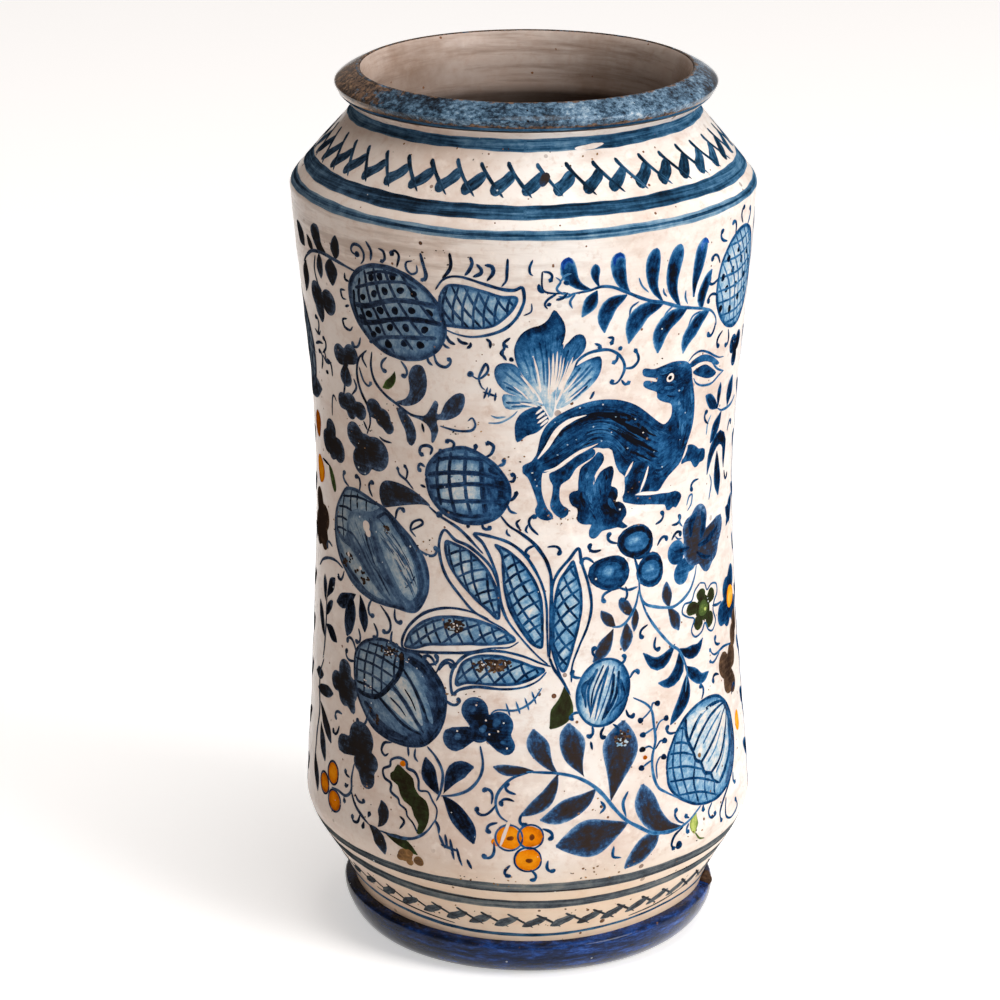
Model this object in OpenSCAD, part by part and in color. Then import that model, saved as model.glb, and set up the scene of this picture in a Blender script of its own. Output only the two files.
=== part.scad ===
// Waisted drug jar of tin-glazed earthenware, thrown and luted in sections.
// The jar stands on the XY plane with its axis on Z. Sizes are in millimetres, over the glaze.

/* [Overall] */
// Height of the jar from the table to the top of the lip
jar_h = 304.5; // [280:0.5:330]
// Thickness of the wall with its glaze on both sides
wall_t = 7; // [5:0.5:10]
// Thickness of the coat of glaze
glaze_t = 0.6; // [0.4:0.1:1]

/* [Foot] */
// Height of the foot ring up to its ledge
foot_h = 13; // [11:0.5:17]
// Diameter of the foot ring at its widest
foot_d = 129.2; // [126:0.2:136]
// Diameter of the heel at its bottom, where it stands on the foot ring inside its ledge
foot_top_d = 121.6; // [117:0.2:124]
// Outer diameter of the flat face that the jar rests on
rest_d = 108; // [102:0.5:118]
// Width of the flat face that the jar rests on
rest_w = 12; // [9:0.5:18]
// Depth of the hollow turned under the base
recess_h = 4; // [2:0.5:6]

/* [Floor] */
// Diameter of the floor slab, which lies on the ledge of the foot ring
slab_d = 104; // [96:0.5:106]
// Radius of the fillet between the floor and the wall
floor_fillet = 6; // [3:0.5:10]

/* [Heel] */
// Diameter of the heel at its widest
heel_d = 154.6; // [146:0.2:166]
// Height of the widest line of the heel
heel_z = 49.5; // [42:0.5:62]

/* [Waist] */
// Diameter of the waist
waist_d = 142.5; // [126:0.5:152]
// Height of the waist
waist_z = 164; // [130:1:190]

/* [Shoulder] */
// Diameter of the shoulder edge
shoulder_d = 157; // [148:0.5:168]
// Height of the sloping shoulder, from its edge to the groove of the neck
shoulder_rise = 26; // [20:0.5:34]

/* [Neck and lip] */
// Diameter at the bottom of the groove below the lip
neck_d = 116; // [112:0.5:120]
// Height of the lip above the groove
lip_h = 13.5; // [11:0.5:17]
// Diameter over the lip at its widest
lip_d = 128.4; // [124:0.2:134]
// Diameter of the crest of the lip, which leans out and down from it
crest_d = 113; // [111:0.5:120]
// Clear diameter of the mouth
bore_d = 106; // [96:0.5:108]
// Length of the straight stretch inside the neck
bore_l = 8; // [4:0.5:12]

/* [Hidden] */
$fn = 120;

CLAY = [0.74, 0.58, 0.45];
TIN_WHITE = [0.90, 0.84, 0.78];
COBALT = [0.10, 0.16, 0.36];

// Clay radii below the glaze, outside and inside the wall
foot_r = foot_d / 2 - glaze_t;
foot_top_r = foot_top_d / 2 - glaze_t;
rest_r = rest_d / 2;
rest_in_r = rest_r - rest_w;
slab_r = slab_d / 2;
heel_r = heel_d / 2 - glaze_t;
waist_r = waist_d / 2 - glaze_t;
shoulder_r = shoulder_d / 2 - glaze_t;
neck_r = neck_d / 2 - glaze_t;
lip_r = lip_d / 2 - glaze_t;
crest_r = crest_d / 2;
bore_r = bore_d / 2 + glaze_t;
clay_t = wall_t - 2 * glaze_t;
heel_in_r = heel_r - clay_t;
waist_in_r = waist_r - clay_t;
shoulder_in_r = shoulder_r - clay_t;
floor_in_r = foot_top_r - clay_t;

// Heights of the clay
crest_z = jar_h - glaze_t;
neck_z = jar_h - lip_h;
shoulder_z = neck_z - shoulder_rise;
bore_top_z = neck_z + 1;
bore_low_z = bore_top_z - bore_l;
lip_belly_z = neck_z + 0.64 * lip_h;
foot_belly_z = 0.86 * foot_h;
shoulder_in_z = shoulder_z - 1.5 * wall_t;
lower_rise = waist_z - heel_z;
upper_rise = shoulder_z - waist_z;
upper_in_rise = shoulder_in_z - waist_z;

// Pulls of the curves, which set how soft each turn of the profile is
foot_out = 0.3;
foot_pull = 0.4;
foot_top_pull = 0.95;
ledge_pull = 0.76;
ledge_drop = 0.4;
cove_out = 3.2;
cove_pull = 0.32;
heel_pull = 0.21;
wall_pull = 0.33;
heel_lean = 2.5;
shoulder_lean = 2.2;
edge_pull = 0.1;
slope_pull = 0.6;
groove_in = 1;
groove_pull = 2;
lip_under = 1;
lip_under_pull = 0.33;
lip_pull = 0.3;
crest_out = 0.33;
crest_drop = 0.16;
crest_in = 0.4;
mouth_pull = 0.7;
in_out = 0.4;
in_pull = 0.36;
fillet_pull = 0.55;

// Point on a cubic curve, and the points of a whole stretch without its last one
function on_curve(p, t) =
    pow(1 - t, 3) * p[0] + 3 * pow(1 - t, 2) * t * p[1] + 3 * (1 - t) * t * t * p[2] + pow(t, 3) * p[3];
function stretch(p, n) = [for (i = [0:n - 1]) on_curve(p, i / n)];
function part_of(line, first, last) = [for (i = [first:last]) line[i]];
function turned(line) = [for (i = [len(line) - 1:-1:0]) line[i]];

// Steps in each stretch of the profile
foot_n = 12;
heel_n = 24;
wall_n = 24;
shoulder_n = 20;
flare_n = 12;
roll_n = 10;
fillet_n = 8;

// Profile of the clay: up the outside, over the lip, down the inside and in to the axis
foot_edge = stretch([[rest_r, 0], [rest_r + foot_out * (foot_r - rest_r), 0],
                     [foot_r, foot_pull * foot_belly_z], [foot_r, foot_belly_z]], foot_n);
foot_top = stretch([[foot_r, foot_belly_z], [foot_r, foot_top_pull * foot_h],
                    [foot_top_r + ledge_pull * (foot_r - foot_top_r), foot_h - ledge_drop],
                    [foot_top_r, foot_h]], foot_n);
heel = stretch([[foot_top_r, foot_h], [foot_top_r + cove_out, foot_h + cove_pull * (heel_z - foot_h)],
                [heel_r, heel_z - heel_pull * (heel_z - foot_h)], [heel_r, heel_z]], heel_n);
wall_low = stretch([[heel_r, heel_z], [heel_r - heel_lean, heel_z + wall_pull * lower_rise],
                    [waist_r, waist_z - wall_pull * lower_rise], [waist_r, waist_z]], wall_n);
wall_high = stretch([[waist_r, waist_z], [waist_r, waist_z + wall_pull * upper_rise],
                     [shoulder_r - shoulder_lean, shoulder_z - wall_pull * upper_rise],
                     [shoulder_r, shoulder_z]], wall_n);
shoulder = stretch([[shoulder_r, shoulder_z], [shoulder_r, shoulder_z + edge_pull * shoulder_rise],
                    [neck_r + slope_pull * (shoulder_r - neck_r), neck_z - slope_pull * shoulder_rise],
                    [neck_r, neck_z]], shoulder_n);
flare = stretch([[neck_r, neck_z], [neck_r - groove_in, neck_z + groove_pull],
                 [lip_r - lip_under, neck_z + lip_under_pull * lip_h], [lip_r, lip_belly_z]], flare_n);
roll_out = stretch([[lip_r, lip_belly_z], [lip_r, lip_belly_z + lip_pull * (crest_z - lip_belly_z)],
                    [crest_r + crest_out * (lip_r - crest_r), crest_z - crest_drop * (crest_z - lip_belly_z)],
                    [crest_r, crest_z]], roll_n);
roll_in = stretch([[crest_r, crest_z], [crest_r - crest_in * (crest_r - bore_r), crest_z],
                   [bore_r, bore_top_z + mouth_pull * (crest_z - bore_top_z)], [bore_r, bore_top_z]], roll_n);
bore = [[bore_r, bore_top_z]];
shoulder_in_rise = bore_low_z - shoulder_in_z;
shoulder_in = stretch([[bore_r, bore_low_z],
                       [bore_r + in_out * (shoulder_in_r - bore_r), bore_low_z - in_pull * shoulder_in_rise],
                       [shoulder_in_r, shoulder_in_z + in_pull * shoulder_in_rise],
                       [shoulder_in_r, shoulder_in_z]], shoulder_n);
wall_high_in = stretch([[shoulder_in_r, shoulder_in_z],
                        [shoulder_in_r - shoulder_lean, shoulder_in_z - wall_pull * upper_in_rise],
                        [waist_in_r, waist_z + wall_pull * upper_in_rise], [waist_in_r, waist_z]], wall_n);
wall_low_in = stretch([[waist_in_r, waist_z], [waist_in_r, waist_z - wall_pull * lower_rise],
                       [heel_in_r - heel_lean, heel_z + wall_pull * lower_rise],
                       [heel_in_r, heel_z]], wall_n);
heel_in = stretch([[heel_in_r, heel_z], [heel_in_r, heel_z - heel_pull * (heel_z - foot_h)],
                   [floor_in_r, foot_h + floor_fillet + cove_pull * (heel_z - foot_h - floor_fillet)],
                   [floor_in_r, foot_h + floor_fillet]], heel_n);
fillet = stretch([[floor_in_r, foot_h + floor_fillet], [floor_in_r, foot_h + (1 - fillet_pull) * floor_fillet],
                  [floor_in_r - fillet_pull * floor_fillet, foot_h], [floor_in_r - floor_fillet, foot_h]], fillet_n);
floor_line = [[floor_in_r - floor_fillet, foot_h], [0, foot_h]];
clay_line = concat(foot_edge, foot_top, heel, wall_low, wall_high, shoulder, flare, roll_out, roll_in,
                   bore, shoulder_in, wall_high_in, wall_low_in, heel_in, fillet, floor_line);

// Places along the profile where one section ends and the next begins
at_foot_top = 2 * foot_n;
at_heel = at_foot_top + heel_n;
at_shoulder = at_heel + 2 * wall_n;
at_neck = at_shoulder + shoulder_n;
at_lip = at_neck + flare_n / 2;
at_crest = at_neck + flare_n + roll_n;
at_mouth = at_crest + roll_n / 2;
at_bore_low = at_crest + roll_n + 1;
at_shoulder_in = at_bore_low + shoulder_n;
at_heel_in = at_shoulder_in + 2 * wall_n;
at_floor = at_heel_in + heel_n + fillet_n;
at_axis = at_floor + 1;

// Glaze surface: the clay profile moved out along its normals, with the corners mitred
function unit(v) = v / norm(v);
function after(i) = unit(clay_line[i + 1] - clay_line[i]);
function before(i) = i == 0 ? after(0) : unit(clay_line[i] - clay_line[i - 1]);
function mitre(a, b) = [a[1] + b[1], -a[0] - b[0]] / (1 + a * b);
function over_clay(i) = i == at_axis ? clay_line[i] + [0, glaze_t]
                                     : clay_line[i] + glaze_t * mitre(before(i), after(i));
glaze_line = [for (i = [0:at_axis]) over_clay(i)];

// The coat on the foot thins out to nothing at the bare clay of its lower edge
bare_n = 6;

module turned_solid(outline) {
    rotate_extrude() polygon(outline);
}

// Section of the wall between two places outside and the matching two places inside
module wall_section(low, high, high_in, low_in) {
    turned_solid(concat(part_of(clay_line, low, high), part_of(clay_line, high_in, low_in)));
}

// Coat of glaze along one stretch of the profile
module coat(first, last) {
    turned_solid(concat(part_of(clay_line, first, last), turned(part_of(glaze_line, first, last))));
}

module foot_ring() {
    color(CLAY)
        turned_solid(concat([[rest_in_r, 0]], part_of(clay_line, 0, at_foot_top),
                            [[slab_r, foot_h], [slab_r, recess_h], [rest_in_r, recess_h]]));
}

module floor_disc() {
    color(CLAY)
        translate([0, 0, recess_h]) cylinder(r = slab_r, h = foot_h - recess_h);
}

module heel_wall() {
    color(CLAY) wall_section(at_foot_top, at_heel, at_heel_in, at_floor);
}

module body_wall() {
    color(CLAY) wall_section(at_heel, at_shoulder, at_shoulder_in, at_heel_in);
}

module shoulder_wall() {
    color(CLAY) wall_section(at_shoulder, at_neck, at_bore_low, at_shoulder_in);
}

module lip_collar() {
    color(CLAY) turned_solid(part_of(clay_line, at_neck, at_bore_low));
}

module foot_glaze() {
    color(COBALT)
        turned_solid(concat(part_of(clay_line, bare_n, at_foot_top),
                            turned(part_of(glaze_line, bare_n + 1, at_foot_top))));
}

module white_glaze() {
    color(TIN_WHITE) coat(at_foot_top, at_lip);
}

module lip_glaze() {
    color(COBALT) coat(at_lip, at_mouth);
}

module lining_glaze() {
    color(TIN_WHITE) coat(at_mouth, at_axis);
}

foot_ring();
floor_disc();
heel_wall();
body_wall();
shoulder_wall();
lip_collar();
foot_glaze();
white_glaze();
lip_glaze();
lining_glaze();
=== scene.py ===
# Looks of the albarello: glazed surfaces, and brushwork as thin films that lie on the wall
import math
import bpy
import numpy as np
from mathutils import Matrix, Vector
from mathutils.geometry import delaunay_2d_cdt


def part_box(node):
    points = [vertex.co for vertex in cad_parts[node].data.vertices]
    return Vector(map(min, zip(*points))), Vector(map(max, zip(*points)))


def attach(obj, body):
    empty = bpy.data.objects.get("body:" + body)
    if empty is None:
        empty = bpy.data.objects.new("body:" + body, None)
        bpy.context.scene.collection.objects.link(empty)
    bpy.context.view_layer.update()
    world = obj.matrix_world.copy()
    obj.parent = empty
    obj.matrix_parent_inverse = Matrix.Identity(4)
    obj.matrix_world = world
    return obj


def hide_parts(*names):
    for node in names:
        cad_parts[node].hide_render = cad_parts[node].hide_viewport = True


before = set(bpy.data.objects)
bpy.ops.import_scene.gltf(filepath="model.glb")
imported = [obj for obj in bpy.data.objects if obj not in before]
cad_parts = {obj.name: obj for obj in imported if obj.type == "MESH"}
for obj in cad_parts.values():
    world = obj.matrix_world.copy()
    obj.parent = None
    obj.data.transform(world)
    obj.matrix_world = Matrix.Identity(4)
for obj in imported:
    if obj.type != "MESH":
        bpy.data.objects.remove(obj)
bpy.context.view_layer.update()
MM = 0.001
rng = np.random.default_rng(7)

# Sizes in mm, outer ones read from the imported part
JAR_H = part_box("lip_glaze")[1].z / MM
FOOT_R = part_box("foot_glaze")[1].x / MM
SHOULDER_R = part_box("white_glaze")[1].x / MM
LIP_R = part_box("lip_glaze")[1].x / MM
FOOT_H = 13.5
FOOT_TOP_R = 60.9
REST_R = 54.0
HEEL_R = 77.3
HEEL_Z = 49.5
WAIST_R = 71.25
WAIST_Z = 164.0
SHOULDER_Z = 265.0
NECK_R = 58.0
NECK_Z = JAR_H - 13.5
BELLY_Z = JAR_H - 4.9
CREST_R = 56.5
BORE_R = 53.0
WALL = 7.0
FLOOR_Z = 13.6
FLOOR_R = 47.8
FLOOR_EDGE_R = 53.8
FLOOR_EDGE_Z = 19.0
FOOT_BELLY_Z = 11.2
FOOT_SEAT_R = 50.0
HOLLOW_R = REST_R - 12
HOLLOW_H = 4.0
BORE_Z = 292.0
BORE_LOW_Z = 286.5
VAULT_Z = 284.0
VAULT_R = 71.5
VAULT_LOW_Z = 254.5
LIP_LINE_Z = 296.0
MOUTH_LINE_R = 55.8
SEGMENTS = 300

# Chart of the wall: mm of arc at one radius across, height above a base line up
CHART_R = 75.0
CHART_Z = 3.0
ROUND = 2 * math.pi * CHART_R


# Profile of the jar in cubic curves, each from its first point to just before its last
def curve(a, b, c, d, count):
    t = np.linspace(0, 1, count + 1)[:-1, None]
    a, b, c, d = (np.array(p, float) for p in (a, b, c, d))
    return a * (1 - t) ** 3 + 3 * b * t * (1 - t) ** 2 + 3 * c * t * t * (1 - t) + d * t ** 3


foot_edge = curve((REST_R, 0), (57.2, 0), (FOOT_R, 4.5), (FOOT_R, FOOT_BELLY_Z), 16)
foot_top = curve((FOOT_R, FOOT_BELLY_Z), (FOOT_R, 12.9), (63.4, 13.1), (FOOT_TOP_R, FOOT_H), 10)
heel = curve((FOOT_TOP_R, FOOT_H), (64, 24.6), (HEEL_R, 41.8), (HEEL_R, HEEL_Z), 50)
wall_low = curve((HEEL_R, HEEL_Z), (74.8, 87.3), (WAIST_R, 126.2), (WAIST_R, WAIST_Z), 82)
wall_high = curve((WAIST_R, WAIST_Z), (WAIST_R, 197.3), (76.3, 231.7), (SHOULDER_R, SHOULDER_Z), 76)
shoulder = curve((SHOULDER_R, SHOULDER_Z), (SHOULDER_R, 267.6), (70.3, 275.4), (NECK_R, NECK_Z), 50)
flare = curve((NECK_R, NECK_Z), (57, 293), (LIP_R - 1, 295.5), (LIP_R, BELLY_Z), 16)
roll_out = curve((LIP_R, BELLY_Z), (LIP_R, 301), (59, 303.7), (CREST_R, JAR_H), 16)
roll_in = curve((CREST_R, JAR_H), (55.1, JAR_H), (BORE_R, 300.7), (BORE_R, BORE_Z), 18)
bore = np.array([(BORE_R, BORE_Z), (BORE_R, 289), (BORE_R, BORE_LOW_Z)], float)
outer = np.vstack([foot_edge, foot_top, heel, wall_low, wall_high, shoulder, flare, [(LIP_R, BELLY_Z)]])

# Inside of the jar, from the shoulder to the middle of the floor
inside_top = curve((BORE_R, VAULT_Z), (63, 271), (VAULT_R, 265), (VAULT_R, VAULT_LOW_Z), 30)
inside_wall = outer[(outer[:, 1] > HEEL_Z) & (outer[:, 1] < VAULT_LOW_Z - 0.5)][::-2] - (WALL, 0)
inside_low = curve((HEEL_R - WALL, HEEL_Z), (HEEL_R - WALL, 41.8), (FLOOR_EDGE_R, 28.8),
                   (FLOOR_EDGE_R, FLOOR_EDGE_Z), 20)
fillet = curve((FLOOR_EDGE_R, FLOOR_EDGE_Z), (FLOOR_EDGE_R, 16), (50.6, FLOOR_Z), (FLOOR_R, FLOOR_Z), 8)
floor_line = [(FLOOR_R, FLOOR_Z), (26, FLOOR_Z)]
inside = np.vstack([inside_top, inside_wall, inside_low, fillet, floor_line])

# Outward normals along the outer profile
run = np.gradient(outer, axis=0)
run /= np.hypot(run[:, 0], run[:, 1])[:, None]
OUT_R, OUT_Z = outer[:, 0], outer[:, 1]
OUT_NR, OUT_NZ = run[:, 1], -run[:, 0]


# Small unevenness of hand-thrown ware, the same for the wall and for the paint on it
def wobble(a, z):
    grow = np.clip(z / 30, 0, 1) * np.clip((303 - z) / 20, 0, 1)
    out_of_round = 0.22 * np.cos(2 * a + 0.6 + z / 190) + 0.12 * np.cos(3 * a - 1.1 - z / 120)
    rings = 0.05 * np.sin(z / 1.9 + 0.7 * np.sin(a)) + 0.07 * np.sin(z / 4.7 - 0.5 * np.cos(a))
    return grow * (out_of_round + rings)


# Sideways run of the axis over the height
def lean(z):
    heights = [3, 23, 53, 83, 113, 163, 203, 265, 278, 293, 304]
    return np.interp(z, heights, [1.3, 1.3, 1.1, 0.7, 0.1, -0.4, -0.1, -0.85, -0.6, -0.1, 0.2])


# Height by which the foot ledge and the heel stand up at the sides
def rise(a, z, r):
    s = np.sin(a)
    grow = np.interp(z, [0, 7, 15, 50], [0, 1, 1, 0]) * np.clip((r - 54) / 4, 0, 1)
    return grow * (2.4 * s ** 2 - s ** 3 + 1.4 * np.clip(s, 0, 1) * np.sin(2 * a) ** 2)


# Points of the chart put on the wall, with their normals
def place(x, z, lift):
    a = (x - lean(z) * np.cos(x / CHART_R)) / CHART_R
    nr = np.interp(z, OUT_Z, OUT_NR)
    nz = np.interp(z, OUT_Z, OUT_NZ)
    r = np.interp(z, OUT_Z, OUT_R) + wobble(a, z) + lift * nr
    at = np.stack([r * np.sin(a) + lean(z), -r * np.cos(a), z + lift * nz + rise(a, z, r)], 1)
    return at * MM, np.stack([nr * np.sin(a), -nr * np.cos(a), nz], 1)


# Paint films: heights above the wall in mm, from the first wash to the last touch
WASH, BODY, LINE, OVER = 0.05, 0.075, 0.10, 0.13
LAYERS, LAYER_STEP = 10, 0.002
FILM_ROOT = -0.12
films = {}
pen = {"motif": "", "body": "cobalt", "sign": 1, "shift": 0.0, "count": 0}


# Start of a motif: the films that follow are gathered under its name
def begin(motif, body="cobalt"):
    pen["motif"] = motif + ("_back" if pen["sign"] < 0 else "")
    pen["body"] = body


# One closed film: its top at a level over the wall, its underside sunk in the wall
def film(points, faces, ink, flow, paint, level):
    if paint == "cobalt" and WASH + 0.01 < level < LINE:
        paint = pen["body"]
    key = (pen["motif"], paint)
    box = films.setdefault(key,
                           {"x": [], "z": [], "lift": [], "ink": [], "flow": [], "faces": [], "n": 0})
    points = np.asarray(points, float)
    pen["count"] += 1
    lift = level + LAYER_STEP * (pen["count"] % LAYERS)
    x = points[:, 0] * pen["sign"] + pen["shift"]
    z = points[:, 1] + CHART_Z
    loop = faces[len(faces) // 2]
    turn = sum(x[i] * z[j] - x[j] * z[i] for i, j in zip(loop, loop[1:] + loop[:1]))
    if turn < 0:
        faces = [f[::-1] for f in faces]
    count = len(x)
    start = box["n"]
    open_edges = {}
    for f in faces:
        for i, j in zip(f, f[1:] + f[:1]):
            if (j, i) in open_edges:
                del open_edges[(j, i)]
            else:
                open_edges[(i, j)] = True
    top = [tuple(start + i for i in f) for f in faces]
    under = [tuple(start + count + i for i in f[::-1]) for f in faces]
    side = [(start + i, start + count + i, start + count + j, start + j) for i, j in open_edges]
    box["x"] += [x, x]
    box["z"] += [z, z]
    box["lift"] += [np.full(count, lift), np.full(count, FILM_ROOT)]
    box["ink"] += [ink, ink]
    box["flow"] += [flow, flow]
    box["faces"] += top + under + side
    box["n"] += 2 * count


# Smooth path through chosen points
def smooth(points, step=0.8, closed=False):
    p = np.array(points, float)
    if closed:
        q = np.vstack([p[-1:], p, p[:2]])
    else:
        q = np.vstack([2 * p[:1] - p[1:2], p, 2 * p[-1:] - p[-2:-1]])
    out = []
    for i in range(1, len(q) - 2):
        a, b, c, d = q[i - 1:i + 3]
        n = max(2, int(math.dist(b, c) / step) + 1)
        t = (np.arange(n) / n)[:, None]
        out.append(0.5 * (2 * b + (c - a) * t + (2 * a - 5 * b + 4 * c - d) * t ** 2
                          + (3 * b - a - 3 * c + d) * t ** 3))
    if not closed:
        out.append(p[-1:])
    return np.vstack(out)


# Film between rows of points that run side by side
def strip(left, middles, right, ink, flow, paint, level):
    rows = [left] + list(middles) + [right]
    n, m = len(left), len(rows)
    points = np.stack(rows, 1).reshape(-1, 2)
    faces = []
    for i in range(n - 1):
        for j in range(m - 1):
            k = i * m + j
            faces.append((k, k + 1, k + m + 1, k + m))
    film(points, faces, ink, flow, paint, level)


# Sideways directions and running length of a path
def sides(p):
    d = np.gradient(p, axis=0)
    d /= np.maximum(np.hypot(d[:, 0], d[:, 1]), 1e-6)[:, None]
    s = np.concatenate([[0], np.cumsum(np.hypot(*np.diff(p, axis=0).T))])
    return np.stack([-d[:, 1], d[:, 0]], 1), s


# Brush stroke that swells and thins, with a drop at its end where blob is set
def stroke(points, width=1.1, ink=0.8, ends=(0.55, 0.45), blob=0.0, paint="cobalt", level=LINE,
           fade=0.06):
    p = smooth(points, 0.75)
    n, s = sides(p)
    length = s[-1]
    half = width / 2 * np.interp(s / length, [0, 0.3, 0.7, 1], [ends[0], 1, 1, ends[1]])
    half *= 1 + 0.13 * np.sin(s / 1.7 + rng.uniform(0, 6)) * np.sin(s / 3.1 + rng.uniform(0, 6))
    cap = np.minimum(s, length - s) / (0.5 * width)
    half *= np.sqrt(np.clip(1 - (1 - np.clip(cap, 0.06, 1)) ** 2, 0, 1))
    if blob:
        r = width * blob / 2
        half = np.maximum(half, np.sqrt(np.clip(r * r - (s - length + r) ** 2, 0.0, None)))
    tone = ink + rng.uniform(-0.07, 0.07) - fade * (s / length)
    inks = np.stack([tone - 0.06, tone + 0.04, tone - 0.06], 1).ravel()
    off = np.stack([-half, 0 * half, half], 1)
    flow = np.stack([np.repeat(s, 3), off.ravel()], 1) + rng.uniform(0, 50)
    strip(p - n * half[:, None], [p], p + n * half[:, None], inks, flow, paint, level)


# Single brush leaf with a dark core and paler edges, pointed or club-shaped
def leaf(base, tip, width, bend=0.0, ink=(0.62, 0.95), paint="cobalt", level=BODY, peak=1.2, via=(),
         club=False):
    base, tip = np.array(base, float), np.array(tip, float)
    axis = tip - base
    length = math.hypot(*axis)
    t = np.linspace(0, 1, max(11, int(length / 1.0)))
    t = t - 0.09 * np.sin(2 * math.pi * t)
    if len(via):
        path = smooth([base, *via, tip], 0.5)
        run_s = sides(path)[1]
        p = np.stack([np.interp(t * run_s[-1], run_s, path[:, k]) for k in (0, 1)], 1)
    else:
        side = np.array([-axis[1], axis[0]])
        p = base + axis * t[:, None] + side * (bend * 4 * t * (1 - t))[:, None]
    n, s = sides(p)
    if club:
        swell = 0.15 + 0.85 * np.sin(math.pi / 2 * np.clip(t / 0.7, 0, 1)) ** 1.4
        half = width / 2 * swell * np.sqrt(np.clip(1 - np.clip((t - 0.7) / 0.3, 0, 1) ** 2.4, 0.004, 1))
    else:
        half = width / 2 * np.sin(math.pi * np.clip(t, 0.012, 0.985) ** peak) ** 0.75
    wave = rng.uniform(0, 6, 2)
    left = half * (1 + 0.1 * np.sin(t * 7 + wave[0]))
    right = half * (1 + 0.1 * np.sin(t * 8 + wave[1]))
    across = np.array([-1, -0.84, -0.5, 0.05, 0.55, 0.86, 1])
    wide = np.where(across[None] < 0, left[:, None], right[:, None]) * across
    tone = ink[0] + (ink[1] - ink[0]) * (1 - np.abs(across[None]) ** 3.8) * np.sin(
        math.pi * np.clip(t, 0.04, 0.97)[:, None] ** 0.9) ** 0.3
    tone = tone + rng.uniform(-0.05, 0.03) - 0.12 * (t[:, None] - 0.4)
    flow = np.stack([np.repeat(s, len(across)), wide.ravel()], 1) + rng.uniform(0, 50)
    rows = [p + n * wide[:, k:k + 1] for k in range(len(across))]
    strip(rows[0], rows[1:-1], rows[-1], tone.ravel(), flow, paint, level)


# Filled spot with a radius for each direction
def polar(cx, cz, radius, ink=(0.62, 0.97), paint="cobalt", level=BODY):
    reach = max(radius)
    n = len(radius)
    a = np.arange(n) / n * 2 * math.pi
    count = max(2, int(reach / 1.7))
    rings = np.linspace(1.0 / count, 1, count)
    points = [(cx, cz)]
    inks = [ink[1]]
    for f in rings:
        for k in range(n):
            points.append((cx + f * radius[k] * math.cos(a[k]), cz + f * radius[k] * math.sin(a[k])))
            inks.append(ink[0] + (ink[1] - ink[0]) * (1 - f ** 3))
    faces = [(0, 1 + k, 1 + (k + 1) % n) for k in range(n)]
    for j in range(count - 1):
        for k in range(n):
            i = 1 + j * n
            faces.append((i + k, i + n + k, i + n + (k + 1) % n, i + (k + 1) % n))
    points = np.array(points)
    tone = np.array(inks) + rng.uniform(-0.05, 0.05)
    film(points, faces, tone, points * (0.4, 1.0) + rng.uniform(0, 50), paint, level)


# Oval spot with a slightly uneven edge
def dot(x, z, rx, rz=None, tilt=0.0, ink=(0.7, 0.9), paint="cobalt", level=LINE):
    rz = rz or rx
    a = np.arange(18) / 18 * 2 * math.pi - math.radians(tilt)
    radius = 1 / np.sqrt((np.cos(a) / rx) ** 2 + (np.sin(a) / rz) ** 2)
    radius *= 1 + 0.06 * np.sin(2 * a + rng.uniform(0, 6)) + 0.05 * np.sin(3 * a + rng.uniform(0, 6))
    polar(x, z, radius, ink, paint, level)


# Spot made of round lobes, which gives back its outline
def clover(cx, cz, lobes, ink=(0.62, 0.97), paint="cobalt", level=BODY, core=1.6, grow=0.0):
    n = 64
    radius = np.full(n, core + grow)
    for k in range(n):
        e = (math.cos(2 * math.pi * k / n), math.sin(2 * math.pi * k / n))
        for x, z, r in lobes:
            r = r + grow
            b = e[0] * (x - cx) + e[1] * (z - cz)
            inside_part = r * r - ((x - cx) ** 2 + (z - cz) ** 2 - b * b)
            if inside_part > 0:
                radius[k] = max(radius[k], b + math.sqrt(inside_part))
    radius = (np.roll(radius, 1) + 2 * radius + np.roll(radius, -1)) / 4
    polar(cx, cz, radius, ink, paint, level)
    return [(cx + radius[k] * math.cos(2 * math.pi * k / n),
             cz + radius[k] * math.sin(2 * math.pi * k / n)) for k in range(0, n, 3)]


# Which points lie inside a closed outline
def contains(edge, x, z):
    found = np.zeros(len(x), bool)
    for (ax, az), (bx, bz) in zip(edge, np.roll(edge, -1, 0)):
        cross = (az > z) != (bz > z)
        with np.errstate(divide="ignore", invalid="ignore"):
            found ^= cross & (x < (bx - ax) * (z - az) / (bz - az) + ax)
    return found


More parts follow.
